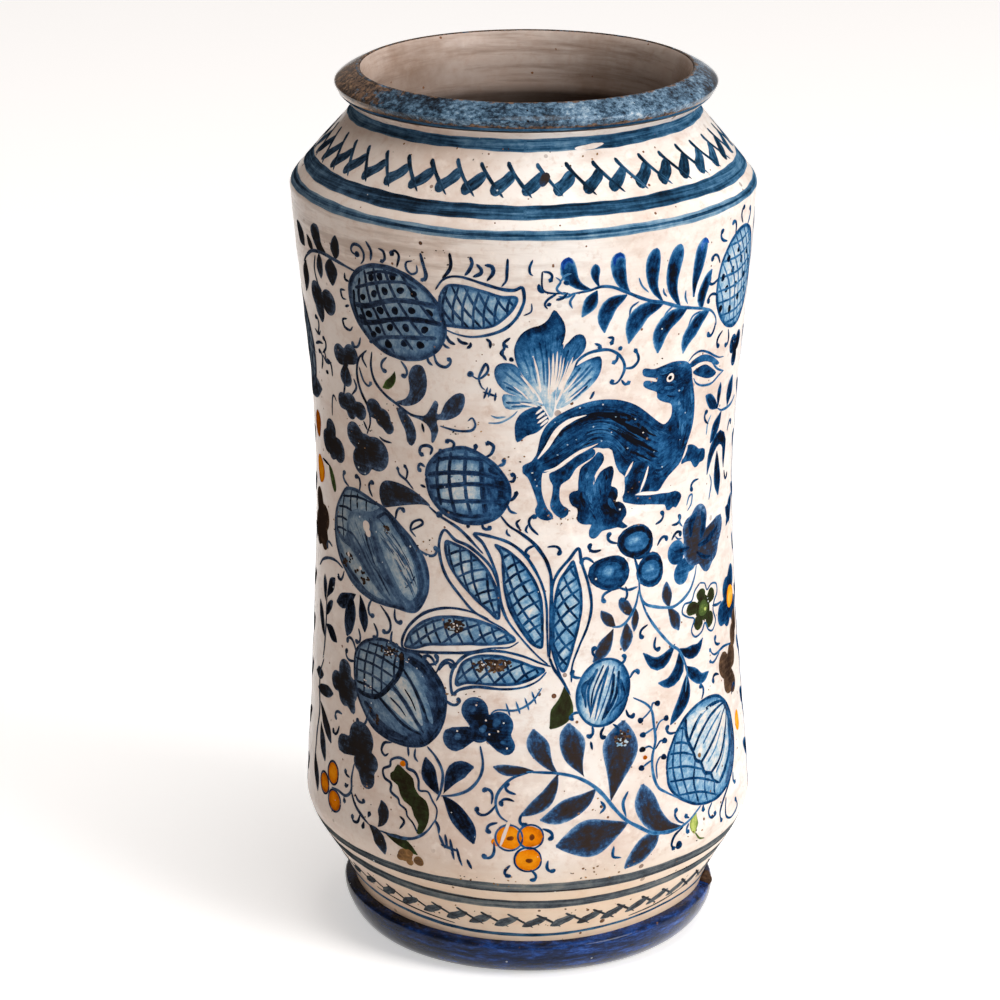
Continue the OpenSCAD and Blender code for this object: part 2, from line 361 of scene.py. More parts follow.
# Filled outline: tone shades it by place, rim darkens or lightens its edge
def fill(points, ink=0.5, paint="cobalt", level=WASH, grain=0.0, rim=0.0, tone=None, fan_from=None):
    edge = smooth(points, 1.7, closed=True)
    low, high = edge.min(0), edge.max(0)
    gx, gz = np.meshgrid(np.arange(low[0], high[0], 2.0), np.arange(low[1], high[1], 2.0))
    gx, gz = gx.ravel() + 0.3 * np.sin(gz.ravel()), gz.ravel()
    keep = contains(edge, gx, gz)
    gap = np.array([np.hypot(edge[:, 0] - a, edge[:, 1] - b).min() for a, b in zip(gx, gz)])
    keep &= gap > 0.8
    every = [Vector(p) for p in edge] + [Vector((a, b)) for a, b in zip(gx[keep], gz[keep])]
    got = delaunay_2d_cdt(every, [], [list(range(len(edge)))], 1, 1e-5)
    at = np.array([tuple(v) for v in got[0]])
    near = np.array([np.hypot(edge[:, 0] - a, edge[:, 1] - b).min() for a, b in at])
    shade = np.full(len(at), float(ink)) if tone is None else np.array([tone(a, b) for a, b in at])
    shade = shade + rim * np.exp(-(near / 1.3) ** 2)
    c, s = math.cos(math.radians(grain)), math.sin(math.radians(grain))
    flow = np.stack([at[:, 0] * c + at[:, 1] * s, at[:, 1] * c - at[:, 0] * s], 1)
    if fan_from:
        off = at - np.array(fan_from)
        flow = np.stack([np.hypot(off[:, 0], off[:, 1]), 16 * np.arctan2(off[:, 0], off[:, 1])], 1)
    film(at, [tuple(f) for f in got[2]], shade, flow, paint, level)


# Points round an oval, one for each step of the angle
def oval(x, z, rx, rz, count, step):
    return [(x + rx * math.cos(k * step), z + rz * math.sin(k * step)) for k in range(count)]


# Outline drawn as one stroke that comes back to its start
def closed_line(points, width=1.0, ink=0.8, paint="cobalt", level=LINE):
    stroke(list(points) + list(points[:1]), width, ink, (0.9, 0.9), 0, paint, level, 0.0)


# Parallel strokes across a closed outline
def hatch(points, spacing, angle, width=1.0, ink=0.82, bow=0.06, level=LINE, paint="cobalt"):
    edge = smooth(points, 1.4, closed=True)
    c, s = math.cos(math.radians(angle)), math.sin(math.radians(angle))
    u, v = edge[:, 0] * c + edge[:, 1] * s, edge[:, 1] * c - edge[:, 0] * s
    for k in np.arange(v.min() + spacing * 0.6, v.max(), spacing):
        k = k + rng.uniform(-0.12, 0.12) * spacing
        cuts = []
        for i in range(len(u)):
            j = (i + 1) % len(u)
            if (v[i] > k) != (v[j] > k):
                cuts.append(u[i] + (u[j] - u[i]) * (k - v[i]) / (v[j] - v[i]))
        cuts.sort()
        for a, b in zip(cuts[::2], cuts[1::2]):
            if b - a > 1.2:
                m, h = (a + b) / 2, k + bow * (b - a)
                line = [(a, k), (m, h), (b, k)]
                stroke([(p * c - q * s, p * s + q * c) for p, q in line], width, ink, (0.8, 0.7), 0,
                       paint, level)


# Small curl that tightens towards a drop
def hook(x, z, size=3.0, heading=90.0, turn=1, width=1.0, ink=0.8):
    h = math.radians(heading)
    arc = math.radians(235)
    p = np.zeros(2)
    path = [p]
    for i in range(11):
        step = size * (0.36 - 0.017 * i)
        p = p + step * np.array([math.cos(h), math.sin(h)])
        h += turn * arc * (0.3 + i) / 58
        path.append(p)
    path = np.array(path)
    path += np.array([x, z]) - (path.max(0) + path.min(0)) / 2
    stroke(path, width, ink, (0.5, 0.9), 1.9)


# Curls round a centre that turn left and right in turn
def hooks(cx, cz, places, size=2.6):
    for k, (x, z, *more) in enumerate(places):
        heading = math.degrees(math.atan2(z - cz, x - cx)) + (-35 if k % 2 else 35)
        hook(x, z, more[0] if more else size, heading, 1 if k % 2 else -1)


# Rise of the bands towards the sides, where they were painted out of level
def sweep(x, sag):
    s = np.sin(np.asarray(x) / CHART_R)
    return sag * s ** 2 * (1 - 0.33 * s)


# Band round the whole jar with uneven edges
def ring(low, high, ink, paint="cobalt", level=BODY, rough=0.25, streak=0.06, shade=None, sag=0.0):
    n = 420
    x = np.arange(n) / n * ROUND
    a = x / CHART_R
    rows = max(3, int((high - low) / 0.55) + 1)
    f = np.linspace(0, 1, rows)
    p1, p2, p3 = rng.uniform(0, 6, 3)
    lower = low + rough * (np.sin(3 * a + p1) + 0.5 * np.sin(11 * a + p2) + 0.3 * np.sin(37 * a + p3))
    upper = high + rough * (np.sin(2 * a + p2) + 0.5 * np.sin(13 * a + p3) + 0.3 * np.sin(41 * a + p1))
    height = lower[:, None] + (upper - lower)[:, None] * f + sweep(x, sag)[:, None]
    points = np.stack([np.repeat(x, rows), height.ravel()], 1)
    tone = ink + streak * np.sin(9 * f)[None] + 0.06 * np.sin(5 * a + p3)[:, None]
    if shade:
        tone = tone + shade(a[:, None], f[None])
    tone = (tone - 0.12 * np.abs(2 * f - 1)[None] ** 6).ravel()
    faces = []
    for i in range(n):
        for j in range(rows - 1):
            k, q = i * rows + j, (i + 1) % n * rows + j
            faces.append((k, q, q + 1, k + 1))
    film(points, faces, tone, np.stack([points[:, 0] * 0.2, points[:, 1] * 1.6], 1), paint, level)


# Motifs, placed on a chart of the wall: x is mm of arc to the right of the front, z is height

# Bands at the lip, shoulder, heel and foot, and the two zigzag borders
def bands():
    begin("bands")

    def dark_left(a, f):
        return 0.10 * np.cos(a + 0.5) * (0.4 + f)

    ring(286.0, 290.2, 0.62, "band")
    ring(293.3, 294.2, 0.72, "band", rough=0.12)
    ring(267.2, 271.4, 0.66, "band", shade=dark_left, sag=1.2)
    ring(260.9, 263.8, 0.46, "band", sag=2.2)
    ring(262.1, 263.0, 0.78, "band", LINE, 0.15, sag=2.2)
    ring(33.2, 37.0, 0.54, "slate", sag=2.7)
    ring(33.1, 33.8, 0.85, "slate", LINE, 0.15, sag=2.7)
    ring(25.2, 29.0, 0.54, "slate", sag=3.9)
    ring(28.2, 28.9, 0.8, "slate", LINE, 0.15, sag=3.9)
    ring(12.7, 13.9, 0.7, "band", rough=0.15, sag=2.6)
    begin("borders")
    count = 44
    pitch = ROUND / count
    for k in range(count):
        x = k * pitch + rng.uniform(-0.7, 0.7) - 1
        up, down = rng.uniform(-0.5, 0.5, 2)
        stroke([(x - 0.6, 274.5), (x + 3.6, 276.8 + 0.3 * up), (x + 7.6, 279.8 + 0.6 * up)], 3.6, 0.77,
               (1.05, 0.85), paint="band", level=BODY)
        stroke([(x + 4.8, 282.8 + up), (x + 8, 279.2), (x + 14.4 + down, 273.2)], 1.2, 0.78, (1.4, 0.4),
               paint="band")
        low = sweep(x + 5, 3.5)
        pale = 0.12 * math.sin(x / CHART_R) ** 2 * (math.sin(x / CHART_R) > 0)
        bar = [(x - 0.6, low + 16.9), (x + 4.2, low + 18.9), (x + 9.2, low + 20.9)]
        stroke(bar, 3.0, 0.66 - pale, (0.3, 0.4), paint="slate")
        stroke([(x + 5, low + 22.4 + 0.5 * up), (x + 9.6, low + 19.7), (x + 15.4 + down, low + 16.4)],
               0.9, 0.8 - pale, (1, 0.3), paint="slate")
    dot(6.6, 278.2, 2.4, 1.5, 35, (0.86, 1.0), "umber", LINE + 0.02)
    # Pale streak across the lower edge of the band under the lip
    stroke([(20, 286.3), (26, 286.5), (33, 287.1)], 1.5, 0.5, (0.4, 0.3), paint="bare", level=OVER)
    stroke([(-70, 19.4), (-50, 17.4), (-30, 15.4)], 0.6, 0.8, paint="slate")
    stroke([(44, 15.4), (60, 16.6), (76, 19)], 0.6, 0.7, paint="slate")


# Sprig and clovers at the top of the left edge
def sprig_left():
    begin("sprig_left", "umber")
    stroke([(-94.5, 240), (-90, 243.5), (-85, 246), (-78, 247), (-70, 246.3), (-60, 244.5)], 1.3, 0.8)
    leaf((-75.5, 247.4), (-82, 256.3), 6.6, via=[(-80, 249.6)], club=True)
    for b, t, w in (((-70, 246.6), (-69, 255), 5), ((-84.5, 246), (-88.6, 250.8), 3.4),
                    ((-80, 246.4), (-80.2, 237.6), 4.4), ((-73, 246.4), (-73, 236.8), 7),
                    ((-92, 246), (-99, 253), 7), ((-92, 241), (-97, 229), 6)):
        leaf(b, t, w, 0, (0.6, 0.94), peak=1)
    stroke([(-83, 245), (-84.5, 240), (-83.5, 235.5), (-81, 233)], 0.9, 0.7)
    clover(-81.5, 229.6, [(-85.4, 231, 4.6), (-77, 230, 4.5), (-84, 226, 3.4), (-83.4, 223, 1.6)],
           (0.6, 0.94))
    clover(-70, 210.5, [(-72.8, 213, 3.7), (-66.3, 214.3, 3.7), (-70.5, 205.5, 3.4)], (0.58, 0.94))
    stroke([(-70, 208), (-72, 201.5), (-74, 197)], 0.9)
    for x, z, s in ((-88, 219, 3), (-84, 213, 3), (-88, 207, 3), (-81, 206, 2.6)):
        hook(x, z, s, 60 + 40 * math.sin(x), 1)


# Scaled fruit at the top left, with dots in its scales and curls round it
def pineapple():
    begin("pineapple")
    cx, cz = -45.2, 233

    def fit(p):
        return [(cx + 0.94 * (x + 46), cz + 0.95 * (z - 233)) for x, z in p]

    edge = fit([(19.3 * math.cos(a) - 3.4 * math.sin(a) - 46,
                 233 + 16.2 * math.sin(a)) for a in np.arange(20) * math.pi / 10])
    fill(edge, 0.36, grain=70, rim=0.3, tone=lambda x, z: 0.34 + 0.005 * (cz - z) + 0.003 * (x - cx))
    closed_line(edge, 1.7, 0.8)
    for p in (((-63.4, 238.3), (-63.8, 232.5), (-62, 226.7)),
              ((-60, 243.3), (-61.2, 235), (-59.2, 229), (-55, 221.7), (-53.4, 218.4)),
              ((-57.5, 246.6), (-56, 236), (-53.3, 230.8), (-50, 223.3), (-46.7, 218)),
              ((-53.3, 248), (-51.7, 239.2), (-48.8, 232.5), (-44.6, 226.7), (-39, 220.4)),
              ((-48.8, 248.9), (-45.8, 240.8), (-41.7, 234.2), (-37.1, 228.3), (-33, 224.4)),
              ((-42.5, 248.4), (-37.9, 241.7), (-33.3, 235), (-28.8, 230.4))):
        stroke(fit(p), 1.2, 0.86, (1, 0.9))
    for p, w in ((((-56.7, 245.4), (-50, 247.3), (-43.3, 247)), 1.1),
                 (((-62.5, 239.2), (-55, 242), (-48.3, 243.8), (-41, 244.6), (-36, 243)), 1.2),
                 (((-64.4, 233), (-58.3, 233.3), (-52.5, 235.4), (-45.8, 237.5), (-38.3, 238.2),
                   (-29, 237.4)), 1.9),
                 (((-62.6, 226.6), (-55, 227.9), (-48.3, 230), (-41.7, 231.3), (-34.2, 231.7),
                   (-27.6, 231)), 1.8),
                 (((-58, 220.2), (-51.7, 222.9), (-45, 224.2), (-38.3, 225), (-29.6, 225.8)), 1.5)):
        stroke(fit(p), w, 0.84, (1, 0.9))
    for x, z in ((-54.6, 244.4), (-50.8, 245.4), (-45.4, 246), (-59.2, 236.4), (-53.8, 238.6),
                 (-49, 240.4), (-42.5, 241.6), (-37.4, 241), (-57, 230.6), (-51.7, 232.9), (-45.4, 233.8),
                 (-38.6, 234.8), (-32, 234.6), (-60.6, 228.4), (-53.3, 225.4), (-47.9, 227.3),
                 (-41.3, 228.2), (-34, 228.4), (-55.6, 223.4), (-49.2, 221), (-42.5, 222.3),
                 (-36, 222.6)):
        dot(*fit([(x, z)])[0], rng.uniform(1.2, 1.7), rng.uniform(1.1, 1.5), rng.uniform(0, 90),
            (0.9, 1.0))
    stroke([(-58.6, 250.6), (-60.6, 250.8), (-61.3, 252.2), (-60, 253.9), (-57.5, 253.8), (-55.8, 251.8),
            (-56, 249.3), (-57.4, 247.6)], 1.0, 0.82)
    dot(-58.7, 250.7, 1.1)
    stroke([(-54.6, 256), (-52.6, 253), (-53, 249.6)], 1.1, 0.82)
    stroke([(-49.6, 254.4), (-47.6, 253.6), (-47.3, 251), (-49.2, 249.8)], 1.0, 0.82, blob=1.6)
    stroke([(-42.8, 249), (-41.8, 253), (-43.5, 254.6), (-45, 252.6)], 1.0, 0.82, blob=2.0)
    stroke([(-37, 252), (-39.2, 251.2), (-39.3, 249), (-37.6, 247.4), (-35.6, 248.4), (-35.6, 250.8)],
           0.9, 0.8)
    stroke([(-34.3, 255), (-33, 250), (-32.8, 247), (-34.4, 245.4)], 1.1, 0.8, blob=1.3)
    stroke([(-65.4, 243), (-65.4, 240.8), (-63.4, 240.4)], 1.0, 0.84)
    stroke([(-66, 236.8), (-68.4, 236.4), (-68, 233.8), (-66, 233.6)], 1.0, 0.84)
    stroke([(-66.6, 226.8), (-69, 226), (-68.4, 223.6), (-65.6, 223), (-64, 224.6)], 1.1, 0.84)
    stroke([(-67, 231), (-64.8, 231.8)], 1.0, 0.84)
    hooks(cx, cz, ((-62.6, 219.6), (-50.5, 214.4), (-42.5, 214)), 2.5)
    stroke([(-31.3, 221.5), (-30, 217.5), (-27, 216.5), (-25.2, 218.5), (-26.5, 219.8)], 1.1, 0.82,
           blob=1.6)
    stroke([(-33.6, 219.6), (-33, 217.6), (-31.6, 216.6)], 1.0, 0.82)


# Short ticks of the brush round the hatched leaf at the top
def ticks_row():
    begin("ticks_row")
    for p, w in ((((-34.2, 255), (-33.2, 251), (-32.3, 247.6), (-33, 245.4)), 1.1),
                 (((-24.4, 256), (-24, 252), (-25, 249.5), (-27, 247.2)), 1.1),
                 (((-17.8, 255.2), (-17.2, 253), (-18.2, 250.5), (-19.6, 248.7)), 1.2),
                 (((-15.8, 252.8), (-14.3, 251), (-14.6, 249.6), (-17, 248.4)), 1.3),
                 (((-13.2, 252.6), (-11, 252.2), (-10.6, 250), (-12.6, 247.2)), 1.3),
                 (((-6, 255), (-6.2, 251), (-6.5, 247.6), (-8, 245.4)), 1.0),
                 (((1.8, 254.6), (0.8, 252), (1, 250), (1.9, 249.3)), 0.9),
                 (((4.8, 250.6), (4.7, 246), (5.6, 243.8), (9, 243), (12.6, 243.2)), 0.7),
                 (((3.7, 246.4), (4, 244.4), (5.4, 243.3)), 1.2),
                 (((9.6, 243), (6.6, 241), (5.7, 239.2), (6.6, 237.8)), 0.8),
                 (((9.2, 240.8), (11.4, 241.4), (13, 243.2)), 0.9),
                 (((-1, 235.6), (1.4, 237), (1.5, 239.8)), 0.6),
                 (((-26.6, 227.8), (-25.4, 225.6), (-23.4, 224.6)), 1.1),
                 (((-27.9, 225), (-26.8, 223.7), (-25.4, 223.2)), 1.0),
                 (((-22.7, 227), (-21.4, 225.6), (-19, 225.2)), 1.1),
                 (((-18.3, 225.8), (-18.4, 224.6), (-19.6, 223.6)), 1.1),
                 (((-13.2, 227.3), (-11.9, 226.2), (-11.9, 224)), 1.1),
                 (((-5.3, 227.9), (-7.4, 226), (-6, 224.4)), 1.0), (((-7.6, 226.4), (-7.1, 224.2)), 0.9),
                 (((-8.6, 222.6), (-7.6, 221.6), (-6.6, 220)), 1.0), (((-8, 224), (-7.6, 221.8)), 0.8)):
        stroke(p, w, 0.84, (0.8, 0.6))
    stroke([(4.8, 250.6), (7, 250.2), (7.9, 248.8), (7, 246.8)], 0.9, 0.84, blob=1.9)
    stroke([(6.2, 239), (7.8, 239.6)], 1.0, 0.84, blob=1.4)


# Leaf with crossed hatching inside and a free outline round it
def hatched(name, inner, outline, spacing=3.8, ink=0.24, slant=40, cross=82):
    begin(name)
    fill(inner, ink, grain=slant, rim=0.24,
         tone=lambda x, z: ink + 0.07 * math.sin(x / 2.3 + z / 3.7) + 0.05 * math.sin(z / 1.9 - x))
    closed_line(inner, 1.1, 0.72)
    hatch(inner, spacing, slant, 0.95, 0.82)
    hatch(inner, spacing, slant + cross, 0.95, 0.82)
    stroke(outline, 1.1, 0.76)


# Hatched leaf at the top, right of the scaled fruit
def leaf_top():
    inner = [(-28, 241.5), (-25, 244.8), (-20, 244.9), (-14, 243.6), (-8, 241.9), (-3.3, 241.6),
             (-4.5, 238), (-8, 234), (-12, 231.5), (-18, 230.8), (-24, 231), (-27, 231.5), (-28.3, 236)]
    outline = [(-29.5, 243), (-27, 246.5), (-24, 248), (-20, 248), (-14, 246.3), (-8, 244.6), (-4, 244.3),
               (-1.5, 245.2), (-0.8, 241.5), (-1.5, 238.5), (-3.5, 234.5), (-7, 231), (-12, 228.8),
               (-18, 227.7), (-23, 228.3), (-26.5, 229.5)]
    hatched("leaf_top", inner, outline, 3.4, 0.27, 80, 44)


# Large flower in the upper middle, with shaded petals
def flower():
    begin("flower")
    base = (8.4, 200)

    def tone(x, z):
        return min(0.72, max(0.0, (math.dist((x, z), base) - 10.5) / 24))

    petals = (((-4, 221.5), (-3.9, 225), (-2, 229), (1, 231.2), (4.5, 232.3), (6.8, 234.2), (8.6, 237.4),
               (10.3, 235.8), (12, 233), (12.6, 230), (12, 226.5), (11.3, 224.5), (11, 220), (9.8, 210),
               base, (4, 208), (-1, 214.6), (-2.8, 217.6)),
              ((-10.7, 215.5), (-10, 218), (-8, 219.1), (-5, 219), (-3, 217.8), (-1, 214), (4, 206),
               (-4, 208), (-7, 209.2), (-9.6, 212)),
              ((-7.6, 208.3), (-8.1, 206), (-7, 203.4), (-4, 203), (0, 203.7), (4, 204), (6, 204.6),
               (1, 206.5), (-3, 207.6)),
              ((11.8, 223.5), (13.5, 226), (16, 228.4), (18.5, 228.2), (19.6, 225.5), (18.8, 222.5),
               (16.5, 220), (14.2, 217.5), (10, 206), (10.4, 214)),
              ((14.5, 215.8), (17.5, 218.2), (21, 219.8), (24.5, 220.3), (25.2, 217.5), (24.3, 213.8),
               (21.8, 210.5), (19, 208), (16.5, 205.8), (10, 203), (12, 208.5)))
    for p in petals:
        fill(p, 0.4, tone=tone, rim=0.16, fan_from=(base[0], base[1] - 3))
    for a, b in (((-2.6, 226), (1.6, 213)), ((-0.6, 229), (3.4, 212)), ((1.6, 230), (4.6, 211)),
                 ((3.6, 231), (5.8, 211.6)), ((5.6, 232), (6.8, 210.6)), ((7.4, 234), (7.8, 211)),
                 ((9.2, 235), (8.8, 212)), ((10.8, 232), (9.8, 213)), ((12, 228), (10.6, 214)),
                 ((-9, 217.4), (-1, 211)), ((-9.6, 214), (-2, 208.8)), ((-6, 218), (0.6, 211.4)),
                 ((-7, 211), (0, 207.8)), ((-7, 205.4), (2, 205.4)), ((-5.4, 204), (3, 204.6)),
                 ((18.6, 227), (12, 213)), ((16.4, 227), (11.4, 213)), ((14, 224.6), (11.2, 214)),
                 ((24.4, 219), (13.8, 208.6)), ((22, 218.6), (13.6, 210)), ((24, 215), (14.4, 206.8)),
                 ((21, 211), (14.6, 205.4)), ((18.6, 218), (13.4, 211.4))):
        f = rng.uniform(0.0, 0.25)
        a = (a[0] + f * (b[0] - a[0]), a[1] + f * (b[1] - a[1]))
        stroke([a, ((a[0] + b[0]) / 2 + rng.uniform(-0.3, 0.5), (a[1] + b[1]) / 2), b], 0.8, 0.72,
               (1, 0.3), fade=0.3)
        c = (b[0] + 0.6 * (a[0] - b[0]) + 1.0, b[1] + 0.6 * (a[1] - b[1]))
        d = (b[0] + 0.25 * (base[0] - b[0]), b[1] + 0.25 * (base[1] - b[1]))
        if rng.uniform() < 0.4:
            stroke([d, ((c[0] + d[0]) / 2 + 0.3, (c[1] + d[1]) / 2), c], rng.uniform(0.4, 0.9), 0.5,
                   (1, 0.2), paint="bare", level=OVER)
    fill([(4.5, 204.2), (2, 203.8), (-1.5, 202), (-3.6, 199), (-4, 195.5), (-3.2, 191.6), (0, 193.8),
          (3.5, 195), (6, 197.3), (7.5, 199.6)], 0.76, level=BODY, rim=-0.1)
    for a, b in (((5.4, 203.4), (3, 201.4)), ((6.2, 202), (3.4, 199.8)), ((7, 200.6), (3.6, 198.2)),
                 ((7.2, 199.4), (4.6, 197.2))):
        stroke([a, b], 0.8, 0.5, (1, 0.3), paint="bare", level=OVER)
    stroke([(-18.6, 214.6), (-16, 213.3), (-13.5, 215), (-12.6, 217), (-13.4, 218.6), (-14.8, 216.2),
            (-15.8, 213.4), (-15, 210.6), (-13.8, 209.6)], 0.9, 0.82)
    dot(-18.6, 214.8, 1.1)
    for a, b in (((-14.3, 206.4), (-12.9, 210.6)), ((-12.8, 207), (-11.9, 210.2)),
                 ((-10.6, 205.8), (-10.2, 208.8)), ((-14.6, 208.8), (-9.8, 207.4))):
        stroke([a, b], 0.8, 0.82)
    stroke([(-7.2, 221), (-8.5, 222.5), (-7.3, 224), (-7.5, 226), (-5.4, 227.6)], 0.9, 0.8)
    stroke([(-7.4, 224.6), (-6, 225.2)], 0.9, 0.8)
    dot(-5, 220.4, 0.8)
    stroke([(-12, 200.7), (-10, 200), (-7, 200.4)], 0.7, 0.5)
    stroke([(-13, 198), (-9, 198.3), (-5, 200.5), (-3, 202.6)], 0.7, 0.5)
    stroke([(15.6, 216.4), (17, 219.5), (20, 221.6), (23.5, 222.4), (27.5, 222.3), (31, 220.3),
            (33, 217.5), (33.4, 215), (32.5, 212.5), (31, 210.6), (29.4, 210.4), (28.8, 212)], 1.1, 0.72,
           blob=1.7)
    for p in (((22.4, 225), (24.2, 224), (24, 222.6)), ((26.8, 226.6), (28.8, 226.2), (28, 223.8)),
              ((30.6, 220.4), (30.4, 218.4), (28.6, 217.4)),
              ((33.4, 215.2), (36.4, 215.2), (38.4, 217), (38.4, 219), (36.8, 221.6)),
              ((32.4, 211.4), (34, 209.6), (36, 210.4)), ((31.2, 223), (32, 221.6))):
        stroke(p, 1.0, 0.76, blob=1.7)
    stroke([(22.9, 208.4), (21.6, 205.8)], 1.1, 0.8)


# Spray of club-shaped and pointed leaves at the top right
def spray_top():
    begin("spray_top")
    stroke([(14, 242.6), (20, 243.4), (24, 244.4), (28, 243.8), (33, 241.5), (38, 239), (43, 237),
            (47, 236), (54, 233.3), (58, 232.2), (63, 231), (67, 230), (71, 228.4), (74, 225.6),
            (75, 222.6)], 1.2, 0.6)
    for p in (((14, 242.6), (11, 243), (9.4, 244.6), (10.6, 247), (9, 248.6)),
              ((15, 242.6), (12.4, 241.6), (10, 242)), ((15.6, 242.8), (13.8, 240), (14.6, 237.6)),
              ((10.6, 247), (12, 249), (14, 249.6))):
        stroke(p, 0.8, 0.6)
    dot(12.6, 246.6, 1.0)
    for points, w, colour in (([(20.8, 243.4), (15.8, 245.8), (13.2, 249.8), (13, 255.2)], 5.0, "royal"),
                              ([(23.4, 244), (22, 247.5), (21.7, 252.3)], 3.0, "cobalt"),
                              ([(34, 241), (30.8, 245.5), (29.6, 250), (30, 255.5)], 5.6, "royal"),
                              ([(46.6, 236.6), (43, 242), (41.9, 248.5), (43.4, 255.2)], 5.4, "cobalt"),
                              ([(54.6, 232.8), (50.9, 240), (50.6, 248), (53.2, 255)], 6.0, "cobalt"),
                              ([(60.6, 235.4), (60.7, 241), (62.5, 248.5), (64.8, 255)], 5.6, "royal")):
        leaf(points[0], points[-1], w, 0, (0.36, 0.95), via=points[1:-1], club=True)
        x, z = points[-1]
        if colour == "royal":
            stroke([(x - 0.34 * w, z - 4.4), (x - 0.3 * w, z - 2), (x, z - 0.9), (x + 0.3 * w, z - 2.2)],
                   1.5, 0.64, (0.3, 0.4), paint="royal")
    for points, w in (([(65.4, 230), (64.9, 235), (67, 240), (69.3, 243.2)], 5.2),
                      ([(22.6, 243.2), (20.4, 238.8), (17.8, 234.4)], 4.6),
                      ([(33, 240.7), (28, 238), (25.4, 233.5), (25.7, 228.3)], 5.6),
                      ([(47.5, 236), (40, 234), (36, 229.5), (34.5, 223.6)], 6.6),
                      ([(58, 232), (50.5, 229.5), (46.8, 225), (46.1, 218.6)], 6.8),
                      ([(70.2, 229.2), (63.5, 226), (59.2, 221.5), (57.4, 216.4)], 6.2)):
        leaf(points[0], points[-1], w, 0, (0.3, 0.92), via=points[1:-1], peak=1.0)
    for p in (((37, 246), (38.4, 243), (41, 240.4)), ((46.8, 241), (47, 239.4), (48.4, 237.8)),
              ((37.5, 237.8), (34.8, 236), (34.3, 233)), ((52, 234.4), (49, 232.4), (47.5, 230)),
              ((56.5, 238.5), (56.6, 236), (58, 233.5)), ((65, 229.6), (61, 228.6), (59, 225.2))):
        stroke(p, 0.7, 0.62)


# Hatched round fruit at the top of the right edge
def fruit_right():
    begin("fruit_right")
    edge = oval(90, 236, 16.5, 17, 16, math.pi / 8)
    fill(edge, 0.2, rim=0.26, grain=40, tone=lambda x, z: 0.1 + 0.009 * math.dist((x, z), (86, 238)))
    closed_line(edge, 1.3, 0.66)
    hatch(edge, 3.6, -68, 0.9, 0.6, 0.1)
    hatch(edge, 4.6, 4, 0.9, 0.6, -0.05)
    for x, z in ((76.6, 238.6), (80, 233.9), (83.5, 239.6), (87.5, 246), (91, 241.6), (87.4, 233.6),
                 (77, 227.6), (84, 226), (95.5, 235), (79.6, 244.4), (91, 228.6), (97, 243), (101, 238),
                 (99, 229)):
        dot(x, z, 1.25, 1.3, 0, (0.84, 1.0))
    hooks(90, 236,
          ((75.5, 253), (82.5, 254), (89, 257), (71.5, 246), (71, 239), (71.5, 233), (72.6, 221.6),
           (78.5, 217), (84.5, 216), (97, 255)))
    clover(94, 210, [(91, 212, 3.4), (97, 212, 3.4), (94, 206.5, 3)])


# Fine brush streaks between two lines, each with its own place and depth
def streaks(upper, lower, count, depth, widths=(0.7, 1.5), level=BODY + 0.012):
    for _ in range(count):
        f = rng.uniform(0.03, 0.97)
        start = rng.uniform(0, 0.8)
        end = min(1.0, start + rng.uniform(0.12, 0.34))
        path = smooth([(1 - f) * np.array(a) + f * np.array(b) for a, b in zip(upper, lower)], 0.8)
        first, last = int(start * (len(path) - 1)), int(end * (len(path) - 1))
        if last - first > 3:
            ink = depth(0.5 * (start + end), f) + rng.uniform(-0.13, 0.13)
            stroke(path[first:last + 1:3], rng.uniform(*widths), ink, (0.3, 0.2), level=level, fade=0.0)


